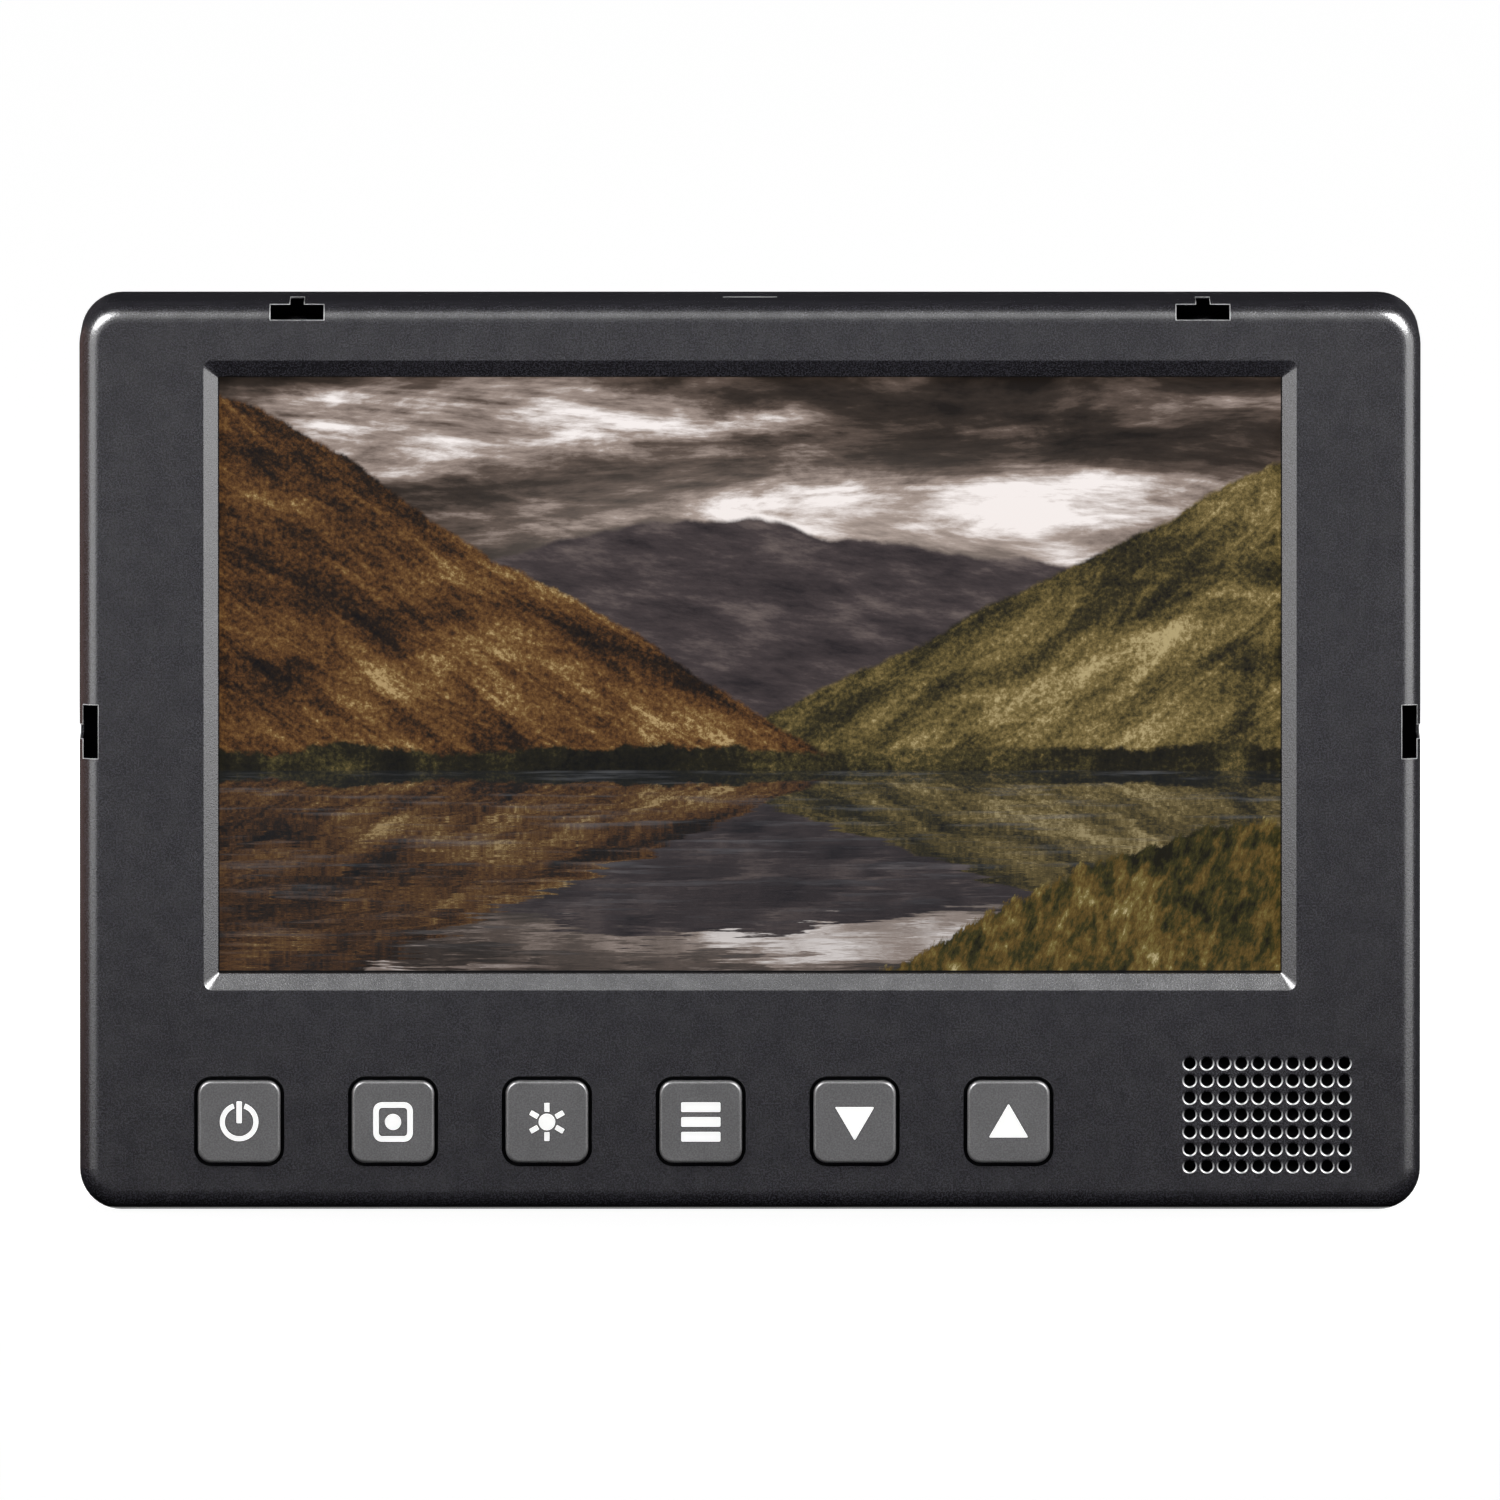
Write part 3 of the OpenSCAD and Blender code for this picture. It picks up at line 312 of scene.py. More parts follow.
def circuit(name, color):
    """Green solder mask over copper tracks, with scattered plated holes."""
    t = Tree(name)
    p = t.place()
    x, _, z = t.split(p)
    flat = t.scaled(p, 1, 0, 1)
    zone = t.fit(t.noise(flat, ZONE_SCALE, 0.0), 0.48, 0.5)
    lanes = t.math("MULTIPLY", t.zigzag(x, LANE_PITCH), zone)
    rungs = t.math("MULTIPLY", t.zigzag(z, RUNG_PITCH), t.math("SUBTRACT", 1.0, zone))
    track = t.fit(t.math("ADD", lanes, rungs), 0.3, 0.34)
    via = t.fit(t.cells(flat, VIA_SCALE), 0.12, 0.15, 1.0, 0.0)
    mask = t.mix(t.math("MULTIPLY", track, 0.7), rgba(color), tinted(color, 2.1))
    base = t.mix(via, mask, rgba(VIA_COLOR))
    rough = t.fit(via, 0.0, 1.0, 0.32, 0.45)
    normal = t.bump(track, TRACK_DEPTH, t.rounded(BOARD_EDGE))
    return t.surface(Base_Color=base, Roughness=rough, Normal=normal)


def foam(name, color):
    """Sponge with open cells."""
    t = Tree(name)
    cell = t.cells(t.place(), FOAM_SCALE)
    base = t.mix(cell, tinted(color, 0.6), tinted(color, 1.5))
    rough = t.fit(cell, 0.0, 0.6, 0.95, 0.8)
    return t.surface(Base_Color=base, Roughness=rough, Normal=t.bump(cell, SOFT_DEPTH),
                     Specular_IOR_Level=0.2)


def cloth(name, color):
    """Plain weave."""
    t = Tree(name)
    x, _, z = t.split(t.place())
    warp, weft = (t.math("SINE", t.math("MULTIPLY", way, 2 * math.pi / WEAVE_PITCH))
                  for way in (x, z))
    weave = t.fit(t.math("MULTIPLY", warp, weft), -1, 1)
    base = t.mix(weave, tinted(color, 0.5), tinted(color, 1.5))
    rough = t.fit(weave, 0.0, 1.0, 0.95, 0.8)
    return t.surface(Base_Color=base, Roughness=rough, Normal=t.bump(weave, SOFT_DEPTH),
                     Specular_IOR_Level=0.1)


def film(name, color, roughness, transmission=0.0):
    """Clear or translucent sheet with faint drawing lines."""
    t = Tree(name)
    lines = t.noise(t.scaled(t.place(), 1, 1, 0.05), FILM_SCALE, 2.0)
    base = t.mix(lines, tinted(color, 0.94), tinted(color, 1.02))
    rough = t.fit(lines, *MIDDLING, roughness * 0.85, roughness * 1.15)
    return t.surface(Base_Color=base, Roughness=rough, Transmission_Weight=transmission,
                     Normal=t.bump(lines, FILM_DEPTH))


# Details of the front housing, measured from its own box
GRILLE_HALF = (12.6 * MM, 8.9 * MM)
GRILLE_LIP = 0.12 * MM
GRILLE_FLAT = -0.97
# How far a grille lip must face up to get its painted highlight
HIGHLIGHT_SLOPE = (-0.34, -0.05)
SLOT_HALF = 3.9 * MM
SLOT_T = 2.2 * MM
SLOT_LEN = 15.0 * MM
KEYWAY_HALF = 1.05 * MM
TOP_SLOT_X = 65.3 * MM
TOP_SLOT_IN = 0.3 * MM
SIDE_SLOT_Z = 69.2 * MM
SIDE_SLOT_IN = 0.5 * MM
SKIN = 0.01 * MM
EDGE_R = 2.8 * MM
KEY_HOLE_LIP = 0.2 * MM
KEYS = ("power", "camera", "brightness", "menu", "down", "up")
case_low, case_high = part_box("front_housing")


def below(t, value, limit):
    return t.math("LESS_THAN", value, limit)


def within(t, value, middle, reach):
    return below(t, t.math("ABSOLUTE", t.math("SUBTRACT", value, middle)), reach)


def hood_slot_shade(t, p):
    """One on the walls of the four T slots."""
    x, _, z = t.split(p)
    across = t.math("ABSOLUTE", x)
    from_top = t.math("SUBTRACT", case_high.z, z)
    from_side = t.math("SUBTRACT", case_high.x, across)
    masks = []
    for along, place, inward, start in ((across, TOP_SLOT_X, from_top, TOP_SLOT_IN),
                                        (z, SIDE_SLOT_Z, from_side, SIDE_SLOT_IN)):
        width = within(t, along, place, SLOT_HALF + SKIN)
        thickness = within(t, inward, start + SLOT_T / 2, SLOT_T / 2 + SKIN)
        masks.append(t.math("MULTIPLY", width, thickness))
    return t.math("MAXIMUM", masks[0], masks[1])


def key_row_shade(t, p):
    """One on the walls of the key holes, from just under the face."""
    first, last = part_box(KEYS[0] + "_button"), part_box(KEYS[-1] + "_button")
    middle = (first[0] + last[1]) / 2
    reach = (last[1] - first[0]) / 2
    x, y, z = t.split(p)
    zone = t.math("MULTIPLY", within(t, x, middle.x, reach.x), within(t, z, middle.z, reach.z))
    return t.math("MULTIPLY", zone, below(t, case_low.y + KEY_HOLE_LIP, y))


def grille_zone(t, p):
    low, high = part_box("speaker_frame")
    middle = (low + high) / 2
    x, _, z = t.split(p)
    return t.math("MULTIPLY", within(t, x, middle.x, GRILLE_HALF[0]),
                  within(t, z, middle.z, GRILLE_HALF[1]))


def grille_shade(t, p):
    """One on the walls of the grille holes, from just under the face."""
    deep = below(t, case_low.y + GRILLE_LIP, t.split(p)[1])
    return t.math("MULTIPLY", grille_zone(t, p), deep)


def housing_shade(t, p):
    holes = t.math("MAXIMUM", key_row_shade(t, p), grille_shade(t, p))
    return t.math("MAXIMUM", hood_slot_shade(t, p), holes)


def key_shade(t, p):
    """Painted shade: one on a key's skirt and flange inside the case, which lie in the shade of
    the gap round the key.
    """
    return below(t, case_low.y, t.split(p)[1])


def grille_lip_highlight(t, p):
    """Painted highlight: one on the lower lips of the grille holes, which face up."""
    _, out, up = t.split(t.add("ShaderNodeNewGeometry").outputs["Normal"])
    slope = t.math("MULTIPLY", t.fit(up, *HIGHLIGHT_SLOPE), below(t, GRILLE_FLAT, out))
    lip = t.math("MULTIPLY", slope, below(t, t.split(p)[1], case_low.y + GRILLE_LIP))
    return t.math("MULTIPLY", grille_zone(t, p), lip)


# Picture on the lit panel: a valley with a lake, drawn in panel coordinates from 0 to 1
WINDOW = (153.4 * MM, 86.3 * MM)
WINDOW_Z = 77.35 * MM
BORDER = (76.5 * MM, 42.85 * MM)
BORDER_BLUR = 0.1 * MM
BORDER_COLOR = (0.0015, 0.0015, 0.0016)
PANEL_COLOR = (0.004, 0.004, 0.005)
PANEL_GRAIN = 4000
SHORE = 0.34
WATERLINE = 0.004
MIRROR_STRETCH = 1.5
RIPPLE = 0.9
CREST_BLUR = 0.005
HAZE_U = 0.56
HAZE_COLOR = (0.80, 0.69, 0.62)
DEPTH_COLOR = (0.010, 0.013, 0.016)
SHEEN_COLOR = (0.17, 0.175, 0.19)
SKY = ((0.0, (0.010, 0.007, 0.005)), (0.3, (0.034, 0.024, 0.018)), (0.52, (0.105, 0.075, 0.060)),
       (0.75, (0.34, 0.27, 0.235)), (1.0, (0.92, 0.86, 0.84)))
FAR_HILL = ((0.32, (0.018, 0.014, 0.016)), (0.52, (0.055, 0.042, 0.043)),
            (0.72, (0.16, 0.125, 0.115)))
RIGHT_HILL = ((0.0, (0.006, 0.005, 0.003)), (0.3, (0.032, 0.026, 0.009)),
              (0.52, (0.095, 0.070, 0.021)), (0.76, (0.20, 0.145, 0.050)),
              (1.0, (0.44, 0.35, 0.17)))
LEFT_HILL = ((0.0, (0.003, 0.002, 0.002)), (0.3, (0.017, 0.009, 0.004)),
             (0.52, (0.075, 0.031, 0.009)), (0.74, (0.145, 0.068, 0.019)),
             (0.9, (0.23, 0.14, 0.048)), (1.0, (0.42, 0.29, 0.13)))
REEDS = ((0.0, (0.003, 0.003, 0.002)), (0.5, (0.014, 0.012, 0.005)), (0.8, (0.060, 0.048, 0.015)),
         (1.0, (0.17, 0.12, 0.04)))
GRASS = ((0.0, (0.008, 0.007, 0.002)), (0.3, (0.036, 0.032, 0.007)), (0.55, (0.105, 0.062, 0.013)),
         (0.8, (0.17, 0.13, 0.036)), (1.0, (0.46, 0.38, 0.20)))


def ridge(t, u, v, level, swing, pitch, seed, crest):
    """Mask below a hill line that rises and falls about a level along u, with a rough crest."""
    line = t.noise(t.xyz(t.math("MULTIPLY", u, pitch), seed, 0.0), 1.0, 4.0, 0.5)
    rough = t.noise(t.xyz(u, t.math("MULTIPLY", v, 0.5), seed), 75, 3.0, 0.75)
    rise = t.math("ADD", t.centred(line, swing), t.centred(rough, crest))
    under = t.math("SUBTRACT", t.math("ADD", level, rise), v)
    return t.fit(under, -CREST_BLUR, CREST_BLUR)


def heath(t, u, v, seed, lean, stops):
    """Growth on a slope: broad patches and gullies down it, broken by fine upright tufts."""
    along = t.math("MULTIPLY_ADD", v, lean, u)
    broad = t.noise(t.xyz(along, t.math("MULTIPLY", v, 1.3), seed), 4.0, 4.0, 0.6, 0.5)
    gully = t.noise(t.xyz(t.math("MULTIPLY", along, 3.0), v, seed + 2.0), 7.0, 5.0, 0.7, 0.8)
    tuft = t.noise(t.xyz(t.math("MULTIPLY", u, 1.8), v, seed + 4.0), 105, 5.0, 0.8)
    tone = t.weighted((broad, 0.38), (gully, 0.30), (tuft, 0.32))
    return t.ramp(t.fit(tone, 0.41, 0.60, smooth=False), stops)


def cloudy_sky(t, u, h):
    """Banks of cloud, with haze low down in the gap between the hills."""
    cloud = t.noise(t.stretched(u, h, 2.0, 5.5, 1.0), 1.0, 9.0, 0.62, 0.7)
    puff = t.noise(t.stretched(u, h, 7.0, 14.0, 4.0), 1.0, 9.0, 0.65, 0.3)
    billow = t.weighted((cloud, 0.62), (puff, 0.38))
    sky = t.ramp(t.fit(billow, 0.40, 0.61, smooth=False), SKY)
    aside = t.math("ABSOLUTE", t.math("SUBTRACT", u, HAZE_U))
    gap = t.math("MULTIPLY", t.fit(h, 0.55, 0.92, 1.0, 0.0), t.fit(aside, 0.05, 0.4, 0.28, 0.0))
    return t.mix(gap, sky, rgba(HAZE_COLOR))


def valley(t, u, h):
    """Sky with a far ridge, a slope at either side and a dark shore, from back to front."""
    fold = t.xyz(t.math("MULTIPLY_ADD", h, 0.8, u), t.math("MULTIPLY", h, 1.6), 6.0)
    far = t.ramp(t.noise(fold, 12, 6.0, 0.7), FAR_HILL)
    right = heath(t, u, h, 11.0, -0.5, RIGHT_HILL)
    left = heath(t, u, h, 23.0, 0.7, LEFT_HILL)
    reeds = heath(t, u, h, 37.0, 0.0, REEDS)
    right_level = t.fit(u, 0.40, 1.05, 0.32, 0.90, smooth=False)
    left_level = t.fit(u, -0.05, 0.64, 1.02, 0.30, smooth=False)
    view = t.mix(ridge(t, u, h, 0.72, 0.14, 3.2, 3.0, 0.004), cloudy_sky(t, u, h), far)
    view = t.mix(ridge(t, u, h, right_level, 0.10, 4.0, 9.0, 0.008), view, right)
    view = t.mix(ridge(t, u, h, left_level, 0.11, 3.4, 17.0, 0.010), view, left)
    return t.mix(ridge(t, u, h, 0.375, 0.05, 6.0, 29.0, 0.016), view, reeds)


def valley_with_lake(t, u, v):
    """The valley above the shore, and its rippled mirror image in the water below."""
    near = t.math("SUBTRACT", SHORE, v)
    water = t.fit(near, 0.0, WATERLINE)
    wave = t.noise(t.stretched(u, v, 7.0, 70.0, 2.0), 1.0, 5.0, 0.65)
    ripple = t.math("MULTIPLY", t.math("SUBTRACT", wave, 0.5), t.math("MULTIPLY", near, RIPPLE))
    mirrored = t.math("ADD", t.math("MULTIPLY_ADD", near, MIRROR_STRETCH, SHORE), ripple)
    view = valley(t, u, t.mix_numbers(water, v, mirrored))
    sheen = t.math("MULTIPLY", t.fit(wave, 0.5, 0.72), t.fit(near, 0.0, SHORE, 0.34, 0.16))
    lake = t.mix(0.35, view, rgba(DEPTH_COLOR))
    lake = t.mix(sheen, lake, rgba(SHEEN_COLOR))
    return t.mix(water, view, lake)


def with_grass(t, u, v, view):
    """The view with a grassy bank before it at the lower right."""
    lean_u = t.math("MULTIPLY_ADD", v, -14.0, t.math("MULTIPLY", u, 70.0))
    lean_v = t.math("MULTIPLY_ADD", u, 9.0, t.math("MULTIPLY", v, 17.0))
    blade = t.noise(t.xyz(lean_u, lean_v, 5.0), 1.0, 7.0, 0.75)
    patch = t.noise(t.xyz(u, v, 8.0), 7.0, 4.0, 0.6)
    tone = t.weighted((blade, 0.6), (patch, 0.4))
    grass = t.ramp(t.fit(tone, 0.40, 0.61, smooth=False), GRASS)
    bank = t.noise(t.xyz(t.math("MULTIPLY", u, 3.0), 31.0, 0.0), 1.0, 3.0, 0.5)
    edge = t.math("ADD", t.fit(u, 0.45, 1.0, -0.07, 0.25), t.centred(bank, 0.08))
    edge = t.math("ADD", edge, t.centred(blade, 0.04))
    return t.mix(t.fit(t.math("SUBTRACT", edge, v), -0.004, 0.006), view, grass)


def add_screen_material():
    t = Tree("screen")
    x, _, z = t.split(t.place())
    u = t.math("MULTIPLY_ADD", x, 1 / WINDOW[0], 0.5)
    v = t.math("MULTIPLY_ADD", z, 1 / WINDOW[1], 0.5 - WINDOW_Z / WINDOW[1])
    view = with_grass(t, u, v, valley_with_lake(t, u, v))
    across, along = t.math("ABSOLUTE", x), t.math("ABSOLUTE", t.math("SUBTRACT", z, WINDOW_Z))
    inside = t.math("MULTIPLY", *(t.fit(way, half, half + BORDER_BLUR, 1.0, 0.0)
                                  for way, half in zip((across, along), BORDER)))
    picture = t.mix(inside, rgba(BORDER_COLOR), view)
    rough = t.fit(t.noise(t.place(), PANEL_GRAIN, 2.0), *MIDDLING, 0.32, 0.40)
    return t.surface(Base_Color=rgba(PANEL_COLOR), Roughness=rough, Specular_IOR_Level=0.08,
                     Emission_Color=picture, Emission_Strength=1.0)


RECORD_COLORS = {m["slot"]: m["base_color"] for m in frame["record"]["materials"]}


def recorded(make, slot, *args, **looks):
    """Material named after a slot, in the record's own colour."""
    return make(slot, RECORD_COLORS[slot][:3], *args, **looks)


def make_materials():
    return {
        # Housing: painted highlights on the lower grille lips, painted shade in its deep slots and
        # holes
        "housing": plastic("housing", (0.0214, 0.0205, 0.0256), 0.25, grain=0.24, depth=0.022,
                           contrast=0.80, specular=1.0, highlighted=grille_lip_highlight, shaded=housing_shade),
        "cover": plastic("cover", (0.0200, 0.0194, 0.0225), 0.42, grain=0.45, depth=0.02,
                         contrast=0.3),
        # Keys: painted shade on the skirt and flange inside the case
        "key": plastic("key", (0.144, 0.142, 0.145), 0.30, grain=0.24, depth=0.012, contrast=0.25,
                       specular=1.0, shaded=key_shade),
        "screen": add_screen_material(),
        "diffuser": recorded(film, "diffuser", 0.6),
        "light_guide": recorded(film, "light_guide", 0.06, 0.9),
        "panel_metal": recorded(metal, "panel_metal", 0.32, (1, 1, 0.04)),
        "chassis_metal": recorded(metal, "chassis_metal", 0.36, (0.04, 1, 1)),
        "screw_black": metal("screw_black", (0.05, 0.05, 0.053), 0.38),
        "screw_bright": recorded(metal, "screw_bright", 0.28),
        "brass": recorded(threaded, "brass", 0.3, 0.7),
        "contact": recorded(metal, "contact", 0.22),
        "board": recorded(circuit, "board"),
        "chip": recorded(plastic, "chip", 0.55, grain=0.15),
        "capacitor": recorded(metal, "capacitor", 0.4, (1, 0.05, 1)),
        "ferrite": recorded(plastic, "ferrite", 0.6, grain=0.2, depth=0.02),
        "connector": recorded(plastic, "connector", 0.45),
        "socket": recorded(plastic, "socket", 0.42),
        "insulator": recorded(plastic, "insulator", 0.5),
        "ribbon": recorded(film, "ribbon", 0.35),
        "ribbon_white": recorded(film, "ribbon_white", 0.4),
        "switch": recorded(plastic, "switch", 0.45),
        "plunger": recorded(plastic, "plunger", 0.4),
        "foam": recorded(foam, "foam"),
        "cloth": recorded(cloth, "cloth"),
        "basket": recorded(plastic, "basket", 0.5),
        "surround": recorded(plastic, "surround", 0.6, specular=0.3),
        "diaphragm": recorded(plastic, "diaphragm", 0.5),
        "copper": recorded(metal, "copper", 0.35, (1, 0.05, 1)),
        "magnet": recorded(metal, "magnet", 0.3),
        "lead": recorded(plastic, "lead", 0.45),
        # Painted glow: the white print shines by itself, with no lamp behind it.
        "ink": plastic("ink", (0.86, 0.86, 0.85), 0.5, grain=0.12, depth=0.002, contrast=0.03,
                       edge=0.01, glow=0.42),
        # Painted highlight: pale grey beads along the slot mouths and the snap window
        "lip": plastic("lip", (0.55, 0.55, 0.56), 0.35, grain=0.2, depth=0.004, edge=0.02),
        "ink_edge": plastic("ink_edge", (0.045, 0.044, 0.043), 0.5, grain=0.12, depth=0.002,
                            edge=0.01),
    }


def dress_nodes(materials):
    for part in frame["record"]["subparts"]:
        mesh = NODES[part["node"]].data
        mesh.materials.clear()
        mesh.materials.append(materials[part["material_slot"]])


# Printed signs on the key caps: white ink over a thin dark edge. Outlines are in millimetres
INK_T = 0.03 * MM
EDGE_T = 0.015 * MM
INK_SINK = 0.01 * MM
EDGE_W = 0.11
ARC_STEPS = 40
RING_STEPS = 72
CORNER_STEPS = 6
RING_OUT, RING_MID, RING_IN = 2.8, 2.42, 2.05
RING_GAP = 0.75
POWER_BAR = (0.8, 3.2, 0.15)
POWER_BAR_Z = 1.4
FRAME_OUT = (5.75, 5.75, 1.3)
FRAME_IN, FRAME_IN_R = 4.08, 0.5
FRAME_DOT_R = 1.18
SUN_R = 1.215
SUN_RAYS = 6
SUN_RAY = (0.77, 1.31, 0.08)
SUN_RAY_AT = 2.115
MENU_BAR = (5.7, 1.43, 0.2)
MENU_PITCH = 2.14
ARROW_HALF, ARROW_R = 2.87, 0.12
DOWN_BASE, DOWN_TIP = 2.17, -2.74
UP_BASE, UP_TIP = -2.26, 2.68


def arc(r, start, end, steps=ARC_STEPS):
    turns = [math.radians(start + (end - start) * k / steps) for k in range(steps + 1)]
    return [(r * math.cos(a), r * math.sin(a)) for a in turns]


def disc(r):
    return arc(r, 0, 360)[:-1]


def round_box(w, h, r):
    loop = []
    for cx, cz, start in ((1, 1, 0), (-1, 1, 90), (-1, -1, 180), (1, -1, 270)):
        middle = (cx * (w / 2 - r), cz * (h / 2 - r))
        corner = arc(r, start, start + 90, CORNER_STEPS)
        loop += [(middle[0] + x, middle[1] + z) for x, z in corner]
    return loop


def grown_box(size, grow):
    w, h, r = size
    return round_box(w + 2 * grow, h + 2 * grow, r + grow)


def moved(loop, dx, dz, turn=0.0):
    c, s = math.cos(turn), math.sin(turn)
    return [(dx + x * c - z * s, dz + x * s + z * c) for x, z in loop]


def round_triangle(half, low, high, r, grow):
    """Triangle with rounded corners, its base at low and its tip at high; grow widens it."""
    corners = [Vector((half, low)), Vector((0, high)), Vector((-half, low))]
    if high < low:
        corners.reverse()
    loop = []
    for k, corner in enumerate(corners):
        a = (corners[k - 1] - corner).normalized()
        b = (corners[(k + 1) % 3] - corner).normalized()
        bisector = (a + b).normalized()
        middle = corner + bisector * r / math.sin(a.angle(b) / 2)
        sweep = math.pi - a.angle(b)
        first = math.atan2(-bisector.y, -bisector.x) - sweep / 2
        for n in range(CORNER_STEPS + 1):
            turn = first + sweep * n / CORNER_STEPS
            loop.append((middle.x + (r + grow) * math.cos(turn),
                         middle.y + (r + grow) * math.sin(turn)))
    return loop


# Each sign is a list of (outline, hole or None), its strokes widened by g at every edge
def power_sign(g):
    half_gap = math.degrees(math.asin(RING_GAP / RING_MID))
    cut = math.degrees(g / RING_MID)
    ends = (90 + half_gap - cut, 450 - half_gap + cut)
    ring = arc(RING_OUT + g, *ends, RING_STEPS)
    ring += reversed(arc(RING_IN - g, *ends, RING_STEPS))
    return [(ring, None), (moved(grown_box(POWER_BAR, g), 0, POWER_BAR_Z), None)]


def camera_sign(g):
    hole = round_box(FRAME_IN - 2 * g, FRAME_IN - 2 * g, FRAME_IN_R)
    return [(grown_box(FRAME_OUT, g), hole), (disc(FRAME_DOT_R + g), None)]


def brightness_sign(g):
    signs = [(disc(SUN_R + g), None)]
    for k in range(SUN_RAYS):
        turn = math.radians(360 / SUN_RAYS * k)
        at = (-SUN_RAY_AT * math.sin(turn), SUN_RAY_AT * math.cos(turn))
        signs.append((moved(grown_box(SUN_RAY, g), *at, turn), None))
    return signs


def menu_sign(g):
    return [(moved(grown_box(MENU_BAR, g), 0, MENU_PITCH * k), None) for k in (-1, 0, 1)]


def down_sign(g):
    return [(round_triangle(ARROW_HALF, DOWN_BASE, DOWN_TIP, ARROW_R, g), None)]


def up_sign(g):
    return [(round_triangle(ARROW_HALF, UP_BASE, UP_TIP, ARROW_R, g), None)]


SIGNS = {"power": power_sign, "camera": camera_sign, "brightness": brightness_sign,
         "menu": menu_sign, "down": down_sign, "up": up_sign}


def link_mesh(name, bm, material):
    mesh = bpy.data.meshes.new(name)
    bmesh.ops.recalc_face_normals(bm, faces=bm.faces)
    bm.to_mesh(mesh)
    bm.free()
    mesh.materials.append(material)
    piece = bpy.data.objects.new(name, mesh)
    bpy.context.scene.collection.objects.link(piece)
    return piece


def ring_of(bm, loop, at, y):
    return [bm.verts.new((at[0] + x * MM, y, at[1] + z * MM)) for x, z in loop]


def bridge(bm, a, b):
    for k in range(len(a)):
        bm.faces.new((a[k - 1], a[k], b[k], b[k - 1]))


def slab(bm, loop, inner, at, front, rear):
    """Prism between two depths from an outline, or from the band between two outlines."""
    loops = [loop] if inner is None else [loop, inner]
    fronts = [ring_of(bm, points, at, front) for points in loops]
    rears = [ring_of(bm, points, at, rear) for points in loops]
    for a, b in zip(fronts, rears):
        bridge(bm, a, b)
    for rows in (fronts, rears):
        if inner is None:
            bm.faces.new(rows[0])
        else:
            bridge(bm, *rows)


def add_signs(ink, edging):
    for key, sign in SIGNS.items():
        low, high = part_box(key + "_button")
        at = ((low.x + high.x) / 2, (low.z + high.z) / 2)
        for name, grow, thick, material in ((key + "_sign", 0.0, INK_T, ink),
                                            (key + "_sign_edge", EDGE_W, EDGE_T, edging)):
            bm = bmesh.new()
            for loop, inner in sign(grow):
                slab(bm, loop, inner, at, low.y - thick, low.y + INK_SINK)
            piece = link_mesh(name, bm, material)
            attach(piece, key + "_key")


# Case screws: domed heads with a cross recess, standing for the plain CAD ones. In millimetres
SCREW_HEAD_R = 2.7
SCREW_HEAD_T = 2.0
SCREW_SHANK_R = 1.4
SCREW_DOME = ((0, 0), (0.9, 0.04), (1.7, 0.22), (2.3, 0.6), (2.6, 1.05), (SCREW_HEAD_R, 1.5),
              (SCREW_HEAD_R, SCREW_HEAD_T), (SCREW_SHANK_R, SCREW_HEAD_T))
SCREW_TIP_R = 0.4
SCREW_TIP_L = 1.2
CROSS_MOUTH = (1.5, 0.34)
CROSS_FLOOR = (0.6, 0.22)
CROSS_ABOVE = 0.3
CROSS_DEPTH = 1.3
LATHE_STEPS = 40
SMOOTH_BELOW = math.radians(35)


def lathe(bm, profile, at):
    """Turned solid along the depth from (radius, depth) pairs that start and end on the axis."""
    rows = []
    for r, y in profile:
        turns = [2 * math.pi * k / LATHE_STEPS for k in range(LATHE_STEPS if r else 1)]
        rows.append([bm.verts.new((at[0] + r * math.cos(a), y, at[1] + r * math.sin(a)))
                     for a in turns])
    for a, b in zip(rows, rows[1:]):
        if len(a) == len(b):
            bridge(bm, a, b)
            continue
        for k in range(LATHE_STEPS):
            bm.faces.new((a[0], b[k], b[k - 1]) if len(a) == 1 else (a[k - 1], a[k], b[0]))


def cross(reach, half):
    quarter = [(reach, -half), (reach, half), (half, half)]
    return [p for k in range(4) for p in moved(quarter, 0, 0, math.radians(90 * k))]


def loft(bm, first, first_y, last, last_y, at):
    rows = [ring_of(bm, loop, at, y) for loop, y in ((first, first_y), (last, last_y))]
    for row in rows:
        bm.faces.new(row)
    bridge(bm, *rows)


def cut(piece, cutter):
    """Takes the cutter out of the piece and removes the cutter."""
    tool = piece.modifiers.new("cut", "BOOLEAN")
    tool.operation, tool.solver, tool.object = "DIFFERENCE", "EXACT", cutter
    view = bpy.context.evaluated_depsgraph_get()
    mesh = bpy.data.meshes.new_from_object(piece.evaluated_get(view))
    piece.modifiers.clear()
    piece.data = mesh
    bpy.data.objects.remove(cutter)


def add_case_screws(material):
    low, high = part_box("case_screws")
    crown, tip = high.y, low.y
    profile = [(r * MM, crown - d * MM) for r, d in SCREW_DOME]
    profile += [(SCREW_SHANK_R * MM, tip + SCREW_TIP_L * MM), (SCREW_TIP_R * MM, tip), (0, tip)]
    heads, recesses = bmesh.new(), bmesh.new()
    inset = SCREW_HEAD_R * MM
    for x in (low.x + inset, high.x - inset):
        for z in (low.z + inset, high.z - inset):
            lathe(heads, profile, (x, z))
            loft(recesses, cross(*CROSS_MOUTH), crown + CROSS_ABOVE * MM,
                 cross(*CROSS_FLOOR), crown - CROSS_DEPTH * MM, (x, z))
    piece = link_mesh("cross_head_screws", heads, material)
    cut(piece, link_mesh("recess", recesses, material))
    piece.data.shade_smooth()
    piece.data.set_sharp_from_angle(angle=SMOOTH_BELOW)
    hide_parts("case_screws")
    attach(piece, "housing")


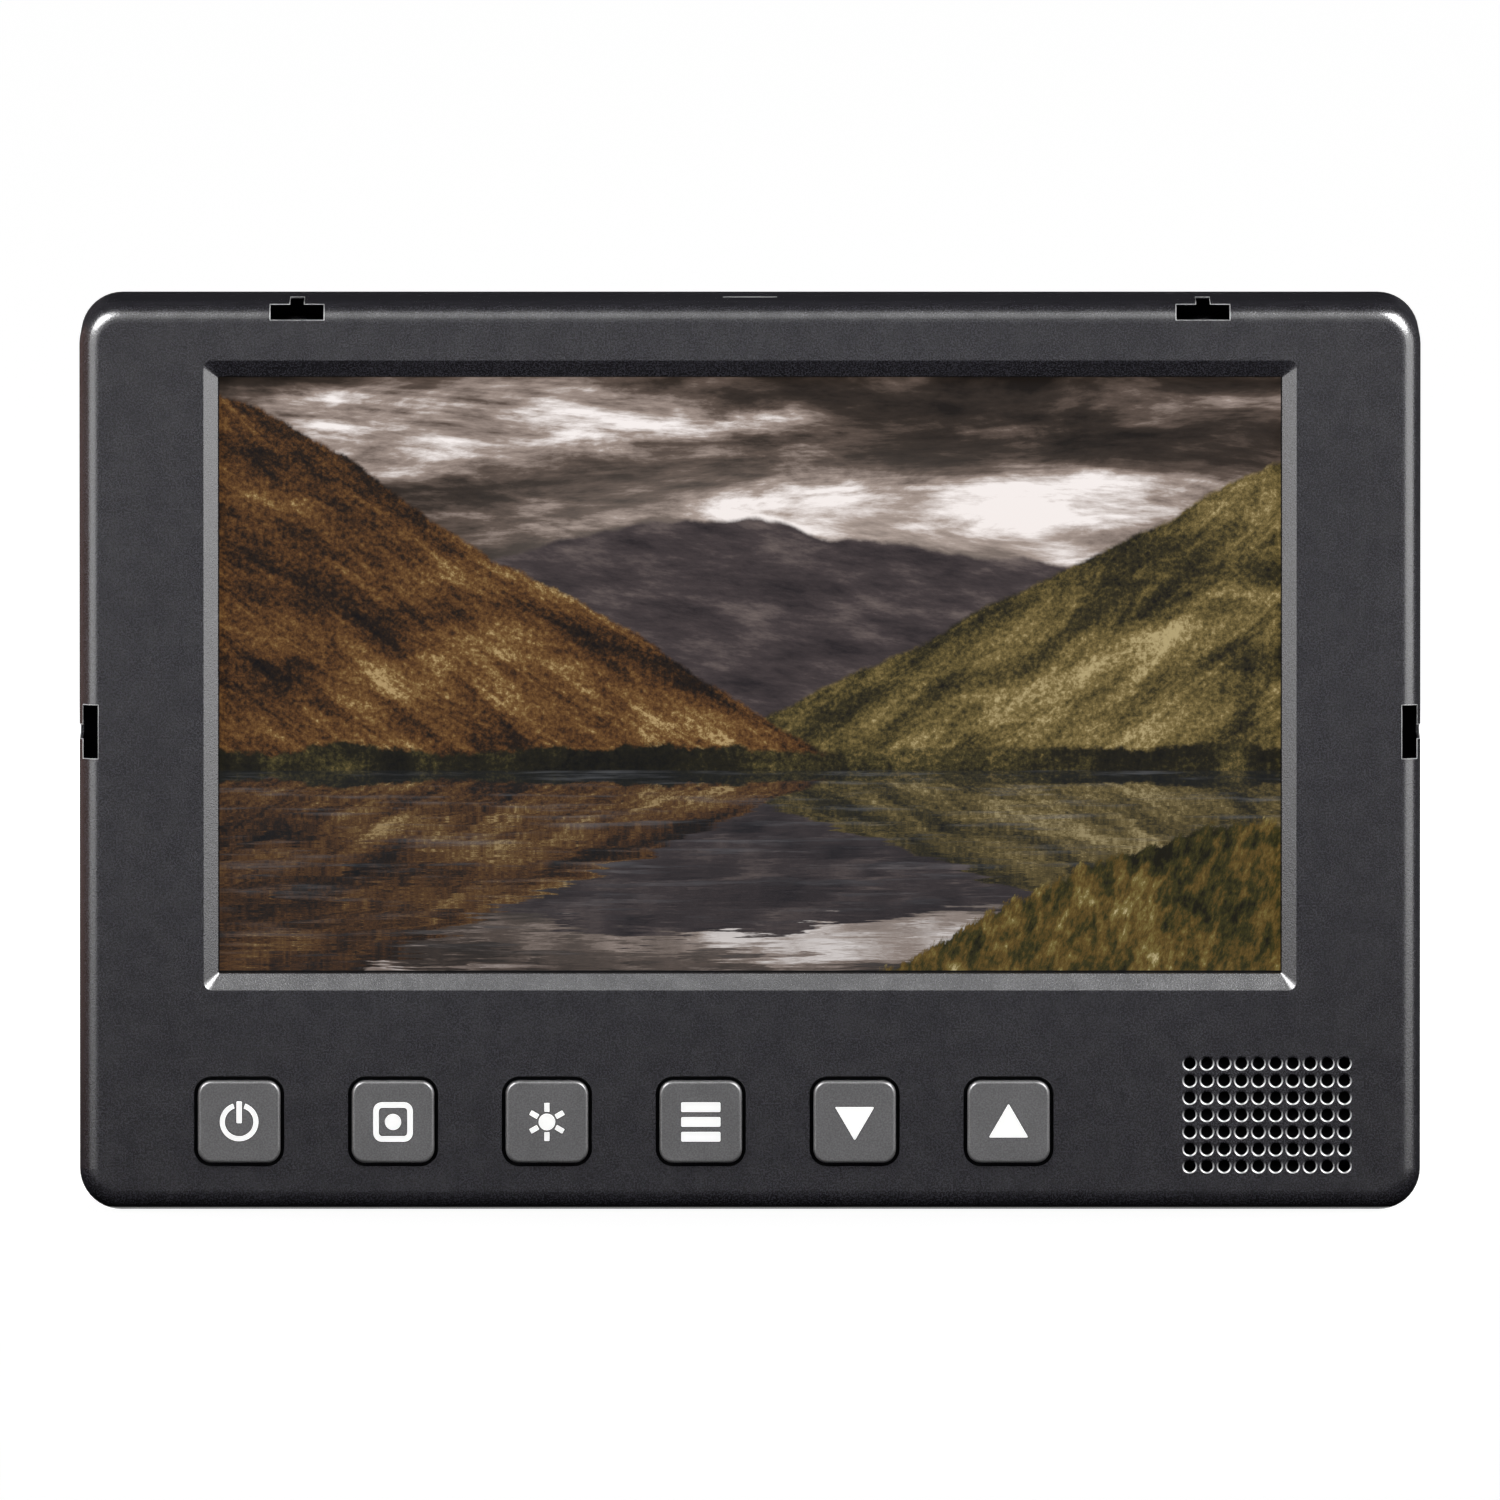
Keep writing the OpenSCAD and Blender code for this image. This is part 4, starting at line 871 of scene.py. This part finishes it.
# Fine pale beads round the mouths of the hood slots and along the snap window: painted highlights
# on those edges
LIP_R = 0.065 * MM
SNAP_HALF = 3.9 * MM
SNAP_END = 15.0 * MM
STEM_STEPS = 4
FLANK_STEPS = 12


def slot_mouth(inset):
    """T-shaped loop of (across, inward, depth) that follows the rounded front edge of the wall."""
    def on_edge(inward):
        return EDGE_R - math.sqrt(max(EDGE_R ** 2 - max(EDGE_R - inward, 0) ** 2, 0))

    floor = inset + SLOT_T
    steps = [LIP_R + (inset - LIP_R) * k / STEM_STEPS for k in range(1, STEM_STEPS + 1)]
    stem = [(KEYWAY_HALF, LIP_R, SLOT_LEN), (KEYWAY_HALF, LIP_R, on_edge(LIP_R))]
    stem += [(KEYWAY_HALF, d, on_edge(d)) for d in steps]
    steps = [inset + SLOT_T * k / FLANK_STEPS for k in range(FLANK_STEPS)]
    flank = [(SLOT_HALF, d, on_edge(d)) for d in steps]
    half = stem + flank + [(SLOT_HALF, floor, on_edge(floor))]
    return half + [(-a, d, y) for a, d, y in reversed(half)]


def bead(curve, points, closed):
    spline = curve.splines.new("POLY")
    spline.points.add(len(points) - 1)
    for knot, point in zip(spline.points, points):
        knot.co = (*point, 1.0)
    spline.use_cyclic_u = closed


def add_lips(material):
    curve = bpy.data.curves.new("slot_lips", "CURVE")
    curve.dimensions = "3D"
    curve.bevel_depth = LIP_R
    curve.bevel_resolution = 2
    curve.use_fill_caps = True
    front = case_low.y
    for side in (-1, 1):
        bead(curve, [(side * TOP_SLOT_X + a, front + y, case_high.z - d)
                     for a, d, y in slot_mouth(TOP_SLOT_IN)], True)
        bead(curve, [(side * (case_high.x - d), front + y, SIDE_SLOT_Z + a)
                     for a, d, y in slot_mouth(SIDE_SLOT_IN)], True)
    bead(curve, [(x, front + SNAP_END, case_high.z - LIP_R) for x in (-SNAP_HALF, SNAP_HALF)],
         False)
    shape = bpy.data.objects.new("slot_lips", curve)
    bpy.context.scene.collection.objects.link(shape)
    view = bpy.context.evaluated_depsgraph_get()
    mesh = bpy.data.meshes.new_from_object(shape.evaluated_get(view))
    bpy.data.objects.remove(shape)
    mesh.materials.clear()
    mesh.materials.append(material)
    mesh.shade_smooth()
    piece = bpy.data.objects.new("hood_slot_lips", mesh)
    bpy.context.scene.collection.objects.link(piece)
    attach(piece, "housing")


# Studio: white floor and surroundings, lamps that light colours or show in gloss, cards for gloss.
# Lengths are in metres and angles in degrees
AMBIENT = 0.15
FLOOR_HALF = 60
FLOOR_Z = -0.0002
FLOOR_COLOR = (0.8, 0.8, 0.8)
FLOOR_SHOWN_COLOR = (0.3, 0.3, 0.3)
FLOOR_GLOW = 0.95
CARD_TONES = {
    "card_black": (0.003, 0.003, 0.003),
    "card_dark": (0.03, 0.03, 0.03),
    "card_rear_grey": (0.026, 0.0255, 0.0295),
    "card_table": (0.13, 0.13, 0.14),
    "card_wall": (0.30, 0.295, 0.340),
    "card_grey": (0.085, 0.085, 0.085),
    "card_warm": (0.41, 0.245, 0.20),
}
FLAG_H = 0.06
FLAG_GAP = 0.3 * MM
LyingCard = namedtuple("LyingCard", "name low high z tone diffuse")
LYING_CARDS = (
    LyingCard("card_front", (-0.7, -1.6), (0.7, 0.02), 0.0004, "card_black", True),
    LyingCard("card_table", (-0.85, -1.6), (0.85, -0.25), 0.0006, "card_table", False),
    LyingCard("card_back", (-0.5, 0.02), (0.5, 0.3), 0.0004, "card_black", False),
    LyingCard("card_top", (-1.2, -1.7), (1.2, 0.9), 1.0, "card_black", False),
)
StandingCard = namedtuple("StandingCard", "name at turn width height tone")
FACING_CARDS = (
    StandingCard("card_far", (0, -1.6, 0), 0, 1.7, 0.5, "card_wall"),
    StandingCard("card_far_top", (0, -1.6, 0.5), 0, 1.7, 0.8, "card_dark"),
    StandingCard("card_rear", (0, 0.3, 0), 0, 1.0, 0.6, "card_rear_grey"),
)
SIDE_CARDS = (
    StandingCard("card_side", (-0.32, 0.1, 0), 90, 0.5, 0.21, "card_warm"),
    StandingCard("card_side_top", (-0.32, 0.1, 0.21), 90, 0.5, 0.29, "card_grey"),
    StandingCard("card_wing", (-0.85, -0.875, 0), 90, 1.45, 1.3, "card_dark"),
    StandingCard("card_side", (0.32, 0.1425, 0), 90, 0.415, 0.21, "card_grey"),
    StandingCard("card_side_top", (0.32, 0.1425, 0.21), 90, 0.415, 0.29, "card_grey"),
    StandingCard("card_wing", (0.85, -0.875, 0), 90, 1.45, 1.3, "card_dark"),
)
LAMP_AIM_Z = 0.07
Lamp = namedtuple("Lamp", "name azimuth elevation distance width height radiance gloss")
LAMPS = (
    Lamp("key_light", 0, 25, 0.35, 0.40, 0.20, 4.8, False),
    Lamp("rear_fill", 180, 20, 1.0, 1.00, 0.60, 5.0, False),
    Lamp("left_fill", -100, 20, 1.0, 0.80, 0.50, 5.0, False),
    Lamp("right_fill", 100, 20, 1.0, 0.80, 0.50, 5.0, False),
    Lamp("side_left", -48, 3, 0.5, 0.38, 0.30, 2.9, True),
    Lamp("side_right", 66, 3, 0.5, 0.64, 0.30, 3.4, True),
    Lamp("overhead", 0, 44, 0.5, 0.60, 0.36, 1.03, True),
    Lamp("corner_left", -45, 36, 1.0, 0.58, 0.58, 21.0, True),
    Lamp("corner_right", 45, 36, 1.0, 0.60, 0.60, 25.0, True),
)


def seen_directly(t):
    """One for rays that show the surroundings: from the camera, off gloss and through glass."""
    path = t.add("ShaderNodeLightPath")
    shown = t.math("MAXIMUM", path.outputs["Is Camera Ray"], path.outputs["Is Glossy Ray"])
    return t.math("MAXIMUM", shown, path.outputs["Is Transmission Ray"])


def add_world():
    """White where it is seen, dimmer where it only lights things."""
    world = bpy.data.worlds.new("studio")
    bpy.context.scene.world = world
    t = Tree("studio", world)
    node = t.add("ShaderNodeBackground")
    node.inputs["Color"].default_value = rgba(WHITE)
    strength = t.fit(seen_directly(t), 0, 1, AMBIENT, 1.0, smooth=False)
    t.put(node.inputs["Strength"], strength)
    t.out(node.outputs[0])


def plane(name, low, high, z, material):
    mesh = bpy.data.meshes.new(name)
    corners = ((low[0], low[1]), (high[0], low[1]), (high[0], high[1]), (low[0], high[1]))
    mesh.from_pydata([(x, y, z) for x, y in corners], [], [(0, 1, 2, 3)])
    mesh.materials.append(material)
    obj = bpy.data.objects.new(name, mesh)
    bpy.context.scene.collection.objects.link(obj)
    return obj


def add_floor():
    """White floor: it lights the object as plain white, and shows its shadow softly."""
    t = Tree("floor")
    plain = t.add("ShaderNodeBsdfDiffuse")
    plain.inputs["Color"].default_value = rgba(FLOOR_COLOR)
    shown = t.add("ShaderNodeBsdfDiffuse")
    shown.inputs["Color"].default_value = rgba(FLOOR_SHOWN_COLOR)
    glow = t.add("ShaderNodeEmission")
    glow.inputs["Strength"].default_value = FLOOR_GLOW
    both = t.add("ShaderNodeAddShader")
    t.put(both.inputs[0], shown.outputs[0])
    t.put(both.inputs[1], glow.outputs[0])
    mix = t.add("ShaderNodeMixShader")
    t.put(mix.inputs[0], seen_directly(t))
    t.put(mix.inputs[1], plain.outputs[0])
    t.put(mix.inputs[2], both.outputs[0])
    plane("floor", (-FLOOR_HALF, -FLOOR_HALF), (FLOOR_HALF, FLOOR_HALF), FLOOR_Z,
          t.out(mix.outputs[0]))


def card_material(name, radiance):
    t = Tree(name)
    node = t.add("ShaderNodeEmission")
    node.inputs["Color"].default_value = rgba(radiance)
    return t.out(node.outputs[0])


def hide_card(card, diffuse):
    card.visible_camera = False
    card.visible_diffuse = diffuse
    card.visible_transmission = False
    card.visible_shadow = False


def standing_card(name, at, turn, width, height, material):
    card = plane(name, (-width / 2, 0), (width / 2, height), 0.0, material)
    card.rotation_euler = (math.radians(90), 0, math.radians(turn))
    card.location = at
    hide_card(card, False)
    return card


def add_flags(material):
    """Low cards round the top of the case, which keep the lamps in front out of its gloss."""
    front, back = case_low.y + EDGE_R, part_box("rear_cover")[1].y
    foot = case_high.z + FLAG_GAP
    reach = case_high.x - EDGE_R
    flags = [standing_card("card_flag", (0, front, foot), 0, 2 * reach, FLAG_H, material)]
    for side in (-1, 1):
        at = (side * reach, (front + back) / 2, foot)
        flags.append(standing_card("card_flag", at, 90, back - front, FLAG_H, material))
    for flag in flags:
        flag.visible_shadow = True


def add_cards():
    """Tent of cards that gloss shows: black near the object, paler in front, warm at the left."""
    tones = {name: card_material(name, tone) for name, tone in CARD_TONES.items()}
    for card in LYING_CARDS:
        hide_card(plane(card.name, card.low, card.high, card.z, tones[card.tone]), card.diffuse)
    for card in FACING_CARDS:
        standing_card(*card[:-1], tones[card.tone])
    add_flags(tones["card_rear_grey"])
    for card in SIDE_CARDS:
        standing_card(*card[:-1], tones[card.tone])


def toward(azimuth, elevation, distance):
    """Point seen from the front: azimuth to the right, elevation upwards."""
    a, e = math.radians(azimuth), math.radians(elevation)
    return Vector((math.sin(a) * math.cos(e), -math.cos(a) * math.cos(e), math.sin(e))) * distance


def softbox(lamp, aim):
    """Box of light that either shows in gloss or lights the colour of things, not both."""
    at = aim + toward(lamp.azimuth, lamp.elevation, lamp.distance)
    data = bpy.data.lights.new(lamp.name, "AREA")
    data.shape = "RECTANGLE"
    data.size, data.size_y = lamp.width, lamp.height
    data.energy = lamp.radiance * math.pi * lamp.width * lamp.height
    light = bpy.data.objects.new(lamp.name, data)
    light.location = at
    light.rotation_euler = (aim - at).to_track_quat("-Z", "Y").to_euler()
    light.visible_camera = False
    light.visible_diffuse = not lamp.gloss
    light.visible_glossy = lamp.gloss
    bpy.context.scene.collection.objects.link(light)


def add_lights():
    """Key and fills light the colours; side, overhead and corner boxes show in gloss."""
    for lamp in LAMPS:
        softbox(lamp, Vector((0, face_y, LAMP_AIM_Z)))


add_camera()
materials = make_materials()
dress_nodes(materials)
add_signs(materials["ink"], materials["ink_edge"])
add_case_screws(materials["screw_black"])
add_lips(materials["lip"])
add_world()
add_floor()
add_cards()
add_lights()

scene = bpy.context.scene
scene.view_settings.view_transform = "Standard"
